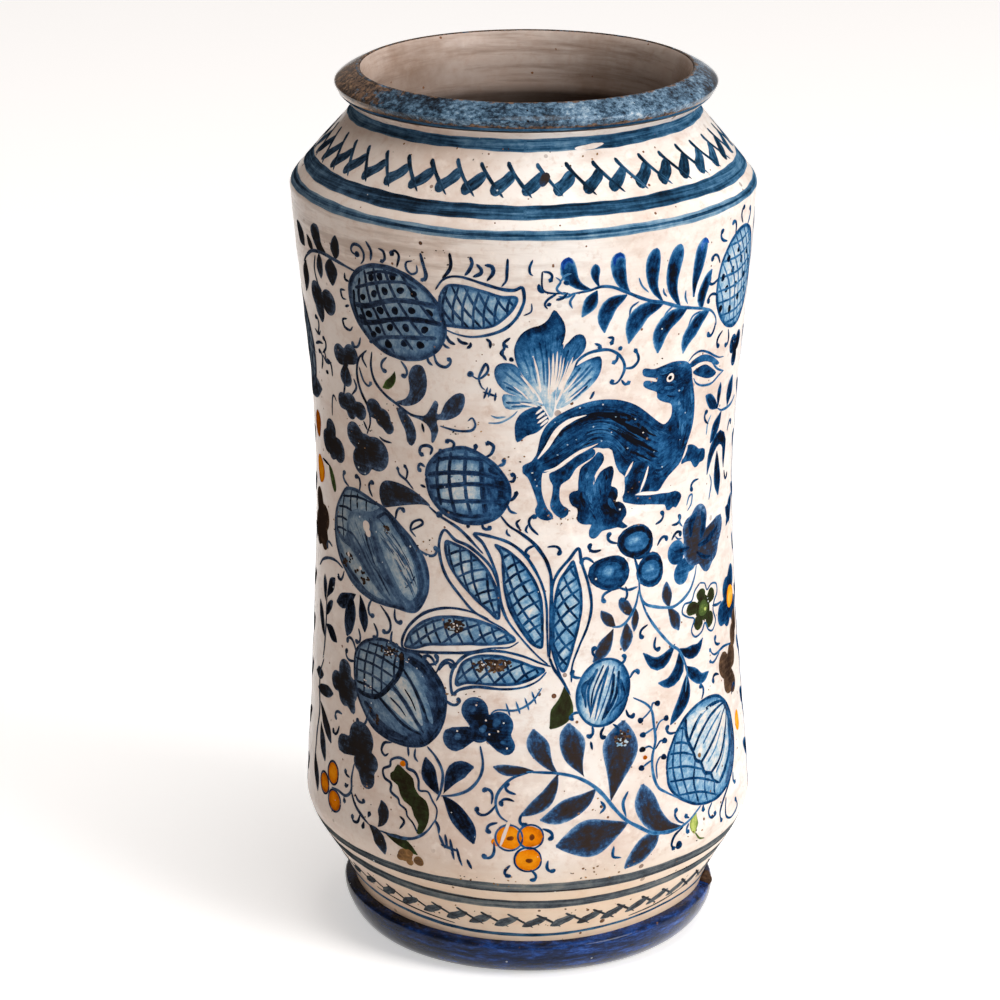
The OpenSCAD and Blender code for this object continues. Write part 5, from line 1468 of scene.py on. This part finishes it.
# One material and short ways to add nodes to it
class Nodes:
    def __init__(self, name):
        self.material = bpy.data.materials.new(name)
        self.material.use_nodes = True
        self.tree = self.material.node_tree
        self.shader = self.tree.nodes["Principled BSDF"]
        self.place = self.new("ShaderNodeTexCoord").outputs["Object"]

    def new(self, kind, **values):
        node = self.tree.nodes.new(kind)
        for key, value in values.items():
            setattr(node, key, value)
        return node

    def put(self, socket, value):
        if isinstance(value, bpy.types.NodeSocket):
            self.tree.links.new(value, socket)
        else:
            socket.default_value = value

    def maths(self, kind, a, b=0.0, clamp=False, c=0.0):
        node = self.new("ShaderNodeMath", operation=kind, use_clamp=clamp)
        self.put(node.inputs[0], a)
        self.put(node.inputs[1], b)
        self.put(node.inputs[2], c)
        return node.outputs[0]

    def axes(self):
        node = self.new("ShaderNodeSeparateXYZ")
        self.put(node.inputs[0], self.place)
        return node.outputs

    def vary(self, value, noise, amount, clamp=False):
        return self.maths("MULTIPLY_ADD", self.maths("SUBTRACT", noise, 0.5), amount, clamp, value)

    def noise(self, scale, detail=3.0, rough=0.55, vector=None, seed=0.0):
        node = self.new("ShaderNodeTexNoise", noise_dimensions="4D")
        self.put(node.inputs["Vector"], vector or self.place)
        self.put(node.inputs["W"], seed)
        self.put(node.inputs["Scale"], scale)
        self.put(node.inputs["Detail"], detail)
        self.put(node.inputs["Roughness"], rough)
        return node.outputs["Fac"]

    def stretch(self, vector, factors):
        node = self.new("ShaderNodeVectorMath", operation="MULTIPLY")
        self.put(node.inputs[0], vector)
        self.put(node.inputs[1], factors)
        return node.outputs[0]

    def ramp(self, value, stops):
        node = self.new("ShaderNodeValToRGB")
        self.put(node.inputs[0], value)
        spots = node.color_ramp.elements
        while len(spots) < len(stops):
            spots.new(0.5)
        for spot, (at, colour) in zip(spots, stops):
            spot.position = at
            spot.color = colour if isinstance(colour, tuple) else (colour, colour, colour, 1)
        return node.outputs[0]

    def blend(self, factor, a, b, kind="MIX"):
        node = self.new("ShaderNodeMix", data_type="RGBA", blend_type=kind)
        self.put(node.inputs[0], factor)
        self.put(node.inputs[6], a)
        self.put(node.inputs[7], b)
        return node.outputs[2]

    def read(self, name, vector=False):
        return self.new("ShaderNodeAttribute", attribute_name=name).outputs["Vector" if vector else "Fac"]

    def specks(self, scale, size, share, seed):
        spot = self.new("ShaderNodeTexVoronoi", voronoi_dimensions="4D")
        self.put(spot.inputs["Vector"], self.place)
        self.put(spot.inputs["W"], seed)
        self.put(spot.inputs["Scale"], scale)
        split = self.new("ShaderNodeSeparateColor")
        self.put(split.inputs[0], spot.outputs["Color"])
        near = self.maths("LESS_THAN", spot.outputs["Distance"],
                          self.maths("MULTIPLY", split.outputs[1], size))
        return self.maths("MULTIPLY", near, self.maths("LESS_THAN", split.outputs[0], share))

    def finish(self, colour, rough=0.2, bump=0.12, shine=0.5):
        self.put(self.shader.inputs["Base Color"], colour)
        worn = self.maths("MULTIPLY_ADD", self.noise(160, 4, 0.6, None, 3.0), 0.16, False, rough - 0.08)
        self.put(self.shader.inputs["Roughness"], worn)
        self.put(self.shader.inputs["Specular IOR Level"], shine)
        height = self.maths("ADD", self.noise(70, 3, 0.5, None, 5.0),
                            self.maths("MULTIPLY", self.noise(520, 2, 0.5, None, 6.0), 0.16))
        bumps = self.new("ShaderNodeBump")
        self.put(bumps.inputs["Strength"], bump)
        self.put(bumps.inputs["Distance"], 0.0012)
        self.put(bumps.inputs["Height"], height)
        self.put(self.shader.inputs["Normal"], bumps.outputs[0])
        return self.material


# Tints of the white glaze, with the colours of its painted shade
CLOUDS = ((0.32, (211, 194, 182)), (0.46, (225, 215, 207)), (0.58, (233, 228, 223)),
          (0.74, (241, 239, 236)))
SMEAR = (198, 170, 154)
GRIME = (188, 152, 128)
PALE_SPOT = (248, 240, 232)
HEEL_PAINTED_SHADE = (232, 200, 164)
LEFT_PAINTED_SHADE = (216, 188, 168)
BELT_TINT = (168, 144, 128)
LINING_TINT_AND_PAINTED_SHADE = (188, 164, 150)
LINING_RING = (130, 106, 90)
LINING_STAIN = (142, 114, 94)
LINING_PAINTED_SHADE = (78, 59, 48)
SPECK_BROWN = (104, 68, 46)
SPECK_DARK = (84, 56, 40)
SPECK_FINE = (120, 84, 62)


# Tin-white glaze with clouds, smears, grime and specks, made warmer and darker at the heel and on the
# left side by painted shade; inside it is stained, and darkened by a tint that is partly painted shade
# and by painted shade below the lip
def glaze(name, inside=False):
    m = Nodes(name)
    across, _, height = m.axes()
    tint = m.ramp(m.noise(18, 5, 0.62, None, 1.0), [(at, linear(*c)) for at, c in CLOUDS])
    smear = m.noise(46, 5, 0.65, m.stretch(m.place, (1, 1, 3.0)), 2.0)
    tint = m.blend(m.ramp(smear, ((0.5, 0.0), (0.74, 0.7))), tint, linear(*SMEAR))
    grime = m.noise(300, 6, 0.72, None, 7.0)
    tint = m.blend(m.ramp(grime, ((0.52, 0.0), (0.76, 0.6))), tint, linear(*GRIME))
    high = m.ramp(m.noise(240, 4, 0.6, None, 11.0), ((0.54, 0.0), (0.72, 0.55)))
    tint = m.blend(high, tint, linear(*PALE_SPOT))
    up = m.maths("DIVIDE", height, JAR_H * MM)
    # Painted shade: the downward-facing heel is warmer and darker towards the foot
    tint = m.blend(m.ramp(up, ((0.11, 0.65), (0.17, 0.0))), tint, linear(*HEEL_PAINTED_SHADE))
    # Painted shade: the glaze is warmer and darker towards the left side
    left = m.ramp(m.maths("MULTIPLY_ADD", across, -6.0, False, 0.4), ((0.3, 0.0), (0.8, 0.4)))
    tint = m.blend(left, tint, linear(*LEFT_PAINTED_SHADE))
    # A streaked grey-brown belt under the shoulder, on the left side only
    belt = m.ramp(up, ((0.79, 0.0), (0.83, 0.8), (0.865, 0.7), (0.88, 0.0)))
    drag = m.ramp(m.noise(60, 5, 0.65, m.stretch(m.place, (0.5, 0.5, 5.0)), 8.0),
                  ((0.44, 0.0), (0.6, 1.0)))
    side = m.ramp(m.maths("MULTIPLY_ADD", across, -5.0, False, 0.55), ((0.3, 0.0), (0.7, 0.8)))
    tint = m.blend(m.maths("MULTIPLY", m.maths("MULTIPLY", belt, drag), side), tint, linear(*BELT_TINT))
    if inside:
        stain = m.noise(30, 5, 0.65, None, 9.0)
        # A darker tint over all of the inside glaze, partly its own stained colour and partly painted
        # shade
        tint = m.blend(0.6, tint, linear(*LINING_TINT_AND_PAINTED_SHADE))
        rings = m.noise(70, 5, 0.7, m.stretch(m.place, (0.3, 0.3, 4.0)), 14.0)
        tint = m.blend(m.ramp(rings, ((0.48, 0.0), (0.68, 0.7))), tint, linear(*LINING_RING))
        tint = m.blend(m.ramp(stain, ((0.42, 0.0), (0.66, 0.75))), tint, linear(*LINING_STAIN))
        # Painted shade: the inside grows dark below the lip, where the jar's own walls shade it
        tint = m.blend(m.ramp(up, ((0.885, 0.95), (0.98, 0.2))), tint, linear(*LINING_PAINTED_SHADE))
    cluster = m.ramp(m.noise(24, 3, 0.5, None, 12.0), ((0.45, 0.0), (0.6, 1.0)))
    tint = m.blend(m.maths("MULTIPLY", m.specks(240, 0.28, 0.6, 1.0), cluster), tint,
                   linear(*SPECK_BROWN))
    tint = m.blend(m.specks(170, 0.14, 0.3, 13.0), tint, linear(*SPECK_DARK))
    tint = m.blend(m.specks(480, 0.28, 0.24, 2.0), tint, linear(*SPECK_FINE))
    return m.finish(tint, 0.2, 0.12, 0.13)


# Brushwork: the ink of each film, streaked along the brush and blotched, picks the colour; painted shade
# makes it darker and duller towards the left side
def paint(name, stops, streak=0.55, blotch=1.0, fade=0.0, left_shade=0.0):
    m = Nodes(name)
    flow = m.read("flow", True)
    line = m.noise(1.0, 5, 0.66, m.stretch(flow, (0.24, 1.0, 1.0)), 1.0)
    patch = m.noise(420, 6, 0.8, None, 2.0)
    wide = m.noise(130, 3, 0.6, None, 3.0)
    value = m.vary(m.read("ink"), line, streak)
    value = m.vary(value, patch, blotch)
    value = m.vary(value, wide, 0.5, True)
    colour = m.ramp(value, [(at, linear(*c)) for at, c in stops])
    across = m.axes()[0]
    # Painted shade: every paint grows darker and duller towards the left side
    side_shade = m.new("ShaderNodeHueSaturation")
    m.put(side_shade.inputs["Saturation"], m.maths("MULTIPLY_ADD", across, fade, True, 1.0))
    m.put(side_shade.inputs["Value"], m.maths("MULTIPLY_ADD", across, left_shade, True, 1.0))
    m.put(side_shade.inputs["Color"], colour)
    colour = m.blend(m.specks(430, 0.22, 0.12, 4.0), side_shade.outputs[0], linear(128, 104, 88))
    colour = m.blend(m.specks(520, 0.22, 0.14, 5.0), colour, linear(200, 206, 210))
    return m.finish(colour, 0.28, 0.12, 0.0)


# Blue coat of the lip and foot: tone shifts it from left to right, which on the foot is painted shade on
# the left and painted light on the right; wear lays the clay bare
def coat(name, stops, worn, grain, tone, drag, broad, shine):
    m = Nodes(name)
    value = m.noise(grain, 7, 0.8, m.stretch(m.place, (1, 1, drag)), 1.0)
    value = m.vary(value, m.noise(80, 3, 0.5, None, 7.0), broad)
    shift = m.ramp(m.maths("MULTIPLY_ADD", m.axes()[0], 7.0, False, 0.5), tone)
    value = m.maths("ADD", value, m.maths("SUBTRACT", shift, 0.5))
    colour = m.ramp(value, [(at, linear(*c)) for at, c in stops])
    wear = m.vary(m.read("wear"), m.noise(300, 7, 0.75, None, 2.0), 2.2)
    rust = m.ramp(m.noise(560, 5, 0.8, None, 9.0),
                  ((0.4, linear(18, 14, 14)), (0.52, linear(*worn)), (0.64, linear(150, 112, 82))))
    colour = m.blend(m.ramp(wear, ((0.34, 0.0), (0.5, 0.95))), colour, rust)
    colour = m.blend(m.ramp(wear, ((0.84, 0.0), (1.0, 0.85))), colour, linear(170, 136, 106))
    colour = m.blend(m.specks(620, 0.24, 0.12, 4.0), colour, linear(160, 168, 182))
    colour = m.blend(m.specks(520, 0.26, 0.2, 5.0), colour, linear(14, 12, 14))
    return m.finish(colour, 0.12, 0.3, shine)


# Bare clay, mottled and speckled
def clay():
    m = Nodes("clay")
    tint = m.ramp(m.noise(90, 5, 0.6, None, 1.0),
                  ((0.3, linear(176, 134, 98)), (0.7, linear(206, 168, 128))))
    return m.finish(m.blend(m.specks(380, 0.3, 0.3, 1.0), tint, linear(120, 86, 60)), 0.8, 0.3, 0.2)


# Colours from the thinnest paint to the thickest
COBALT = ((0.0, (220, 214, 206)), (0.14, (172, 192, 204)), (0.30, (116, 158, 188)),
          (0.44, (68, 120, 162)), (0.56, (46, 98, 144)), (0.66, (30, 78, 122)), (0.76, (19, 57, 97)),
          (0.86, (12, 38, 70)), (0.94, (12, 25, 46)), (1.0, (18, 19, 25)))
UMBER = ((0.0, (216, 210, 204)), (0.3, (116, 148, 180)), (0.46, (76, 112, 150)), (0.58, (52, 86, 126)),
         (0.68, (42, 64, 96)), (0.78, (42, 51, 68)), (0.88, (48, 45, 49)), (1.0, (50, 41, 37)))
BAND = ((0.0, (214, 206, 198)), (0.16, (170, 184, 192)), (0.32, (122, 152, 172)), (0.46, (84, 122, 150)),
        (0.58, (54, 94, 126)), (0.70, (32, 66, 94)), (0.82, (20, 42, 62)), (0.92, (16, 28, 40)),
        (1.0, (18, 20, 24)))
ROYAL = ((0.0, (206, 208, 214)), (0.3, (92, 138, 190)), (0.5, (34, 86, 160)), (0.66, (18, 54, 132)),
         (0.8, (14, 34, 80)), (1.0, (20, 22, 30)))
SLATE = ((0.0, (206, 190, 174)), (0.26, (140, 138, 132)), (0.46, (104, 111, 114)), (0.62, (76, 83, 90)),
         (0.78, (56, 58, 62)), (1.0, (54, 46, 42)))
GREEN = ((0.0, (186, 196, 110)), (0.25, (130, 150, 70)), (0.5, (72, 92, 48)), (0.75, (46, 54, 32)),
         (1.0, (38, 32, 22)))
OCHRE = ((0.0, (244, 204, 120)), (0.25, (238, 160, 30)), (0.55, (218, 120, 8)), (0.8, (160, 78, 12)),
         (1.0, (96, 50, 20)))
BROWN = ((0.0, (190, 146, 98)), (0.4, (140, 104, 66)), (0.7, (86, 66, 52)), (0.95, (46, 35, 29)))
FOOT = ((0.3, (3, 6, 13)), (0.42, (9, 18, 38)), (0.52, (18, 40, 82)), (0.6, (32, 70, 142)),
        (0.7, (66, 110, 180)), (0.8, (122, 158, 208)))
LIP = ((0.28, (6, 9, 14)), (0.37, (18, 27, 38)), (0.44, (42, 58, 74)), (0.49, (64, 90, 112)),
       (0.54, (88, 116, 140)), (0.6, (118, 146, 168)), (0.66, (164, 180, 192)), (0.76, (216, 216, 212)))
# Shifts of the coat from left to right: on the foot painted shade on the left and painted light on the
# right; on the lip darker at the left front and at the right end
FOOT_PAINTED_SIDE_LIGHT = ((0.05, 0.44), (0.3, 0.49), (0.55, 0.525), (0.7, 0.53), (0.95, 0.51))
LIP_TONE = ((0.05, 0.5), (0.25, 0.45), (0.5, 0.49), (0.75, 0.535), (0.85, 0.53), (0.95, 0.42))
looks = {
    "white": (glaze("white_glaze"), "white_glaze"),
    "lining": (glaze("lining_glaze", True), "white_glaze"),
    "bare": (glaze("bare_line"), "white_glaze"),
    "cobalt": (paint("cobalt", COBALT, fade=6.0, left_shade=6.0), "cobalt_paint"),
    "umber": (paint("umber", UMBER, 0.7, 1.3, 6.0, 6.0), "cobalt_paint"),
    "band": (paint("band", BAND, 0.95, 0.5, 3.0, 3.0), "cobalt_paint"),
    "royal": (paint("royal", ROYAL), "cobalt_paint"),
    "slate": (paint("slate", SLATE, 0.9, 0.6, 0.0, 4.0), "cobalt_paint"),
    "green": (paint("green", GREEN), "green_paint"),
    "ochre": (paint("ochre", OCHRE, 0.2, 0.7), "ochre_paint"),
    "brown": (paint("brown", BROWN), "ochre_paint"),
    "foot": (coat("foot_blue", FOOT, (46, 38, 36), 90, FOOT_PAINTED_SIDE_LIGHT, 5.0, 0.0, 0.2), "blue_glaze"),
    "lip": (coat("lip_blue", LIP, (96, 76, 62), 520, LIP_TONE, 1.5, 0.5, 0.18), "blue_glaze"),
    "clay": (clay(), "clay"),
}


# Pieces: one mesh with its look, fixed to the one body
def piece(name, points, faces, look, normals=None, values=None):
    mesh = bpy.data.meshes.new(name)
    mesh.from_pydata([tuple(p) for p in points], [], faces)
    for key, data in (values or {}).items():
        if data.ndim == 1:
            mesh.attributes.new(key, "FLOAT", "POINT").data.foreach_set("value", data.astype(np.float32))
        else:
            flat = np.zeros((len(data), 3), np.float32)
            flat[:, :2] = data
            mesh.attributes.new(key, "FLOAT_VECTOR", "POINT").data.foreach_set("vector", flat.ravel())
    mesh.shade_smooth()
    if normals is None:
        mesh.set_sharp_from_angle(angle=math.radians(50))
    else:
        mesh.normals_split_custom_set_from_vertices([tuple(n) for n in normals])
    thing = bpy.data.objects.new(name, mesh)
    bpy.context.scene.collection.objects.link(thing)
    material, slot = looks[look]
    mesh.materials.append(material)
    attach(thing, "root")
    return thing


# Closed profile turned about the axis
def turned(name, profile, look, wear=None):
    profile = np.asarray(profile, float)
    n, m = SEGMENTS, len(profile)
    a = np.arange(n) / n * 2 * math.pi
    r = profile[None, :, 0] + wobble(a[:, None], profile[None, :, 1])
    z = np.repeat(profile[None, :, 1], n, 0)
    worn = np.zeros((n, m)) if wear is None else wear(profile[None], a[:, None])
    up = z + rise(a[:, None], z, r)
    points = np.stack([r * np.sin(a)[:, None] + lean(z), -r * np.cos(a)[:, None], up], 2).reshape(-1,
                                                                                                  3) * MM
    faces = []
    for i in range(n):
        for j in range(m):
            k, q = i * m, (i + 1) % n * m
            faces.append((k + j, q + j, q + (j + 1) % m, k + (j + 1) % m))
    return piece(name, points, faces, look, None, {"wear": worn.ravel()})


# Rough lump of kiln dirt
def lump(name, angle, radius, height, reach):
    rows, n = 16, 24
    v, u = np.meshgrid(np.linspace(0.02, 0.98, rows) * math.pi, np.arange(n) / n * 2 * math.pi,
                       indexing="ij")
    swell = 1 + 0.12 * np.sin(3 * u + 2 * v) + 0.08 * np.sin(5 * v - u)
    x = radius + reach[0] * swell * np.sin(v) * np.cos(u)
    y = reach[1] * swell * np.sin(v) * np.sin(u)
    z = height + reach[2] * swell * np.cos(v)
    points = np.stack([x * math.sin(angle) + y * math.cos(angle),
                       y * math.sin(angle) - x * math.cos(angle), z], 2)
    faces = [tuple(range(n - 1, -1, -1)), tuple((rows - 1) * n + k for k in range(n))]
    for i in range(rows - 1):
        for k in range(n):
            j = (k + 1) % n
            faces.append((i * n + k, i * n + j, i * n + n + j, i * n + n + k))
    flat = points.reshape(-1, 3)
    values = {"ink": np.full(len(flat), 0.8), "flow": flat[:, :2] * 2}
    return piece(name, flat * MM, [f[::-1] for f in faces], "brown", None, values)


# Where the blue is rubbed off: the crest, the lower edge and a patch at the left of the lip
def lip_wear(p, a):
    crest = np.exp(-((p[..., 0] - 56.2) / 1.2) ** 2) * (p[..., 1] > 302)
    lower = np.exp(-((p[..., 1] - 297.4) / 1.1) ** 2)
    left = 0.75 * np.exp(-((np.cos(a + 1.35) - 1) / 0.12) ** 2) * (p[..., 0] > 57)
    return 0.55 * crest + 0.62 * lower + left


# The same on the foot: the resting edge and the ledge, all round
def foot_wear(p, a):
    rest = 0.6 * np.exp(-(p[..., 1] / 2.2) ** 2)
    ledge = 0.2 * np.exp(-((p[..., 1] - 12.4) / 0.6) ** 2)
    return rest + ledge + 0 * a


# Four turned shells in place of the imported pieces; their unseen faces lie inside the wall
above = outer[(OUT_Z > LIP_LINE_Z)]
below = outer[(OUT_Z >= FOOT_H - 0.01) & (OUT_Z <= LIP_LINE_Z)]
core = outer[(OUT_Z > FOOT_H + 1) & (OUT_Z < SHOULDER_Z - 6)][::-8] - (0.5 * WALL, 0)
wall = turned("glazed_wall", np.vstack([below, [(57.2, 293.5), (56.6, 286)], core, [(57, FOOT_H)]]),
              "white")
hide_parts("white_glaze", "heel_wall", "body_wall", "shoulder_wall")
mouth = roll_in[roll_in[:, 0] < MOUTH_LINE_R]
lining = turned("glazed_lining",
                np.vstack([mouth, bore, inside, [(0.6, FLOOR_Z)],
                           [(0.6, FLOOR_Z - 1.2), (52, FLOOR_Z - 0.8)], core[::-1] - (0.6, 0),
                           [(60, 277), (55.4, 288), (55.2, 300)]]), "lining")
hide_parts("lining_glaze")
rolled = np.vstack([above, roll_out, roll_in[roll_in[:, 0] >= MOUTH_LINE_R]])
lip = turned("blue_lip", np.vstack([rolled, [(56.4, 301), (59.5, 296.2)]]), "lip", lip_wear)
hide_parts("lip_collar", "lip_glaze")
seat = [(FOOT_TOP_R - 0.4, FOOT_H), (FOOT_SEAT_R, FOOT_H), (FOOT_SEAT_R, HOLLOW_H), (HOLLOW_R, HOLLOW_H)]
foot = turned("blue_foot", np.vstack([[(HOLLOW_R, 0)], foot_edge, foot_top, seat]), "foot", foot_wear)
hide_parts("foot_ring", "foot_glaze")
floor_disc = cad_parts["floor_disc"]
floor_disc.data.materials.clear()
floor_disc.data.materials.append(looks["clay"][0])
lump("kiln_scar", 107 / CHART_R, FOOT_R - 0.6, 15.0, (2.2, 2.2, 3.0))

# The brushwork, one piece for each motif and paint
for (motif, look), box in films.items():
    at, normals = place(np.concatenate(box["x"]), np.concatenate(box["z"]), np.concatenate(box["lift"]))
    values = {"ink": np.concatenate(box["ink"]), "flow": np.concatenate(box["flow"])}
    piece(motif + "_" + look, at, box["faces"], look, normals, values)

# White floor that keeps the shadow
FLOOR_HALF = 12
FLOOR_GREY = 0.93
FLOOR_GLOW = 0.5
corners = [(-FLOOR_HALF, -FLOOR_HALF, 0), (FLOOR_HALF, -FLOOR_HALF, 0), (FLOOR_HALF, FLOOR_HALF, 0),
           (-FLOOR_HALF, FLOOR_HALF, 0)]
ground = bpy.data.meshes.new("ground")
ground.from_pydata(corners, [], [(0, 1, 2, 3)])
stage = bpy.data.objects.new("ground", ground)
bpy.context.scene.collection.objects.link(stage)
pale = Nodes("pale_floor")
seen = pale.new("ShaderNodeLightPath")
both = pale.maths("MAXIMUM", seen.outputs["Is Camera Ray"], seen.outputs["Is Glossy Ray"])
pale.put(pale.shader.inputs["Base Color"], (FLOOR_GREY, FLOOR_GREY, FLOOR_GREY, 1))
pale.put(pale.shader.inputs["Roughness"], 0.9)
pale.put(pale.shader.inputs["Emission Color"], (1, 1, 1, 1))
pale.put(pale.shader.inputs["Emission Strength"], pale.maths("MULTIPLY", both, FLOOR_GLOW))
ground.materials.append(pale.material)

# Camera
CAMERA_X, CAMERA_Y, CAMERA_Z = -8.68, -1560, 649.9
CAMERA_TILT = 72.29
camera = bpy.data.cameras.new("camera")
camera.sensor_width = 36.0
camera.lens = 171.385
view = bpy.data.objects.new("camera", camera)
view.location = (CAMERA_X * MM, CAMERA_Y * MM, CAMERA_Z * MM)
view.rotation_euler = (math.radians(CAMERA_TILT), 0, 0)
bpy.context.scene.collection.objects.link(view)
bpy.context.scene.camera = view


# Lights in metres and watts, and a sky that is brighter and whiter on the right
def light(name, spot, aim, size, power, colour):
    data = bpy.data.lights.new(name, "AREA")
    data.shape = "DISK"
    data.size = size
    data.energy = power
    data.color = colour
    lamp = bpy.data.objects.new(name, data)
    lamp.location = spot
    lamp.rotation_euler = (Vector(aim) - Vector(spot)).to_track_quat("-Z", "Y").to_euler()
    bpy.context.scene.collection.objects.link(lamp)


SKY_SLOPE = 0.22
SKY_LEVEL = 0.27
light("key", (1.6, -1.3, 1.2), aim=(0, 0, 0.15), size=1.2, power=39, colour=(1.0, 0.99, 0.98))
light("top", (0.3, -0.5, 2.2), aim=(0, 0, 0.1), size=1.4, power=20, colour=(1.0, 0.99, 0.97))
light("fill", (-1.6, -1.9, 0.7), aim=(0, 0, 0.15), size=1.4, power=2.6, colour=(1.0, 0.9, 0.82))
world = bpy.data.worlds.new("studio")
world.use_nodes = True
bpy.context.scene.world = world
sky = world.node_tree.nodes["Background"]
tints = world.node_tree.nodes.new("ShaderNodeValToRGB")
tints.color_ramp.elements[0].color = (1, 0.86, 0.77, 1)
tints.color_ramp.elements[0].position = 0.3
tints.color_ramp.elements[1].color = (1, 1, 1, 1)
way = world.node_tree.nodes.new("ShaderNodeTexCoord")
split = world.node_tree.nodes.new("ShaderNodeSeparateXYZ")
level = world.node_tree.nodes.new("ShaderNodeMath")
level.operation = "MULTIPLY_ADD"
level.inputs[1].default_value = SKY_SLOPE
level.inputs[2].default_value = SKY_LEVEL
world.node_tree.links.new(way.outputs["Generated"], split.inputs[0])
world.node_tree.links.new(split.outputs[0], level.inputs[0])
world.node_tree.links.new(level.outputs[0], sky.inputs["Strength"])
world.node_tree.links.new(level.outputs[0], tints.inputs[0])
world.node_tree.links.new(tints.outputs[0], sky.inputs["Color"])
bpy.context.scene.view_settings.view_transform = "Standard"
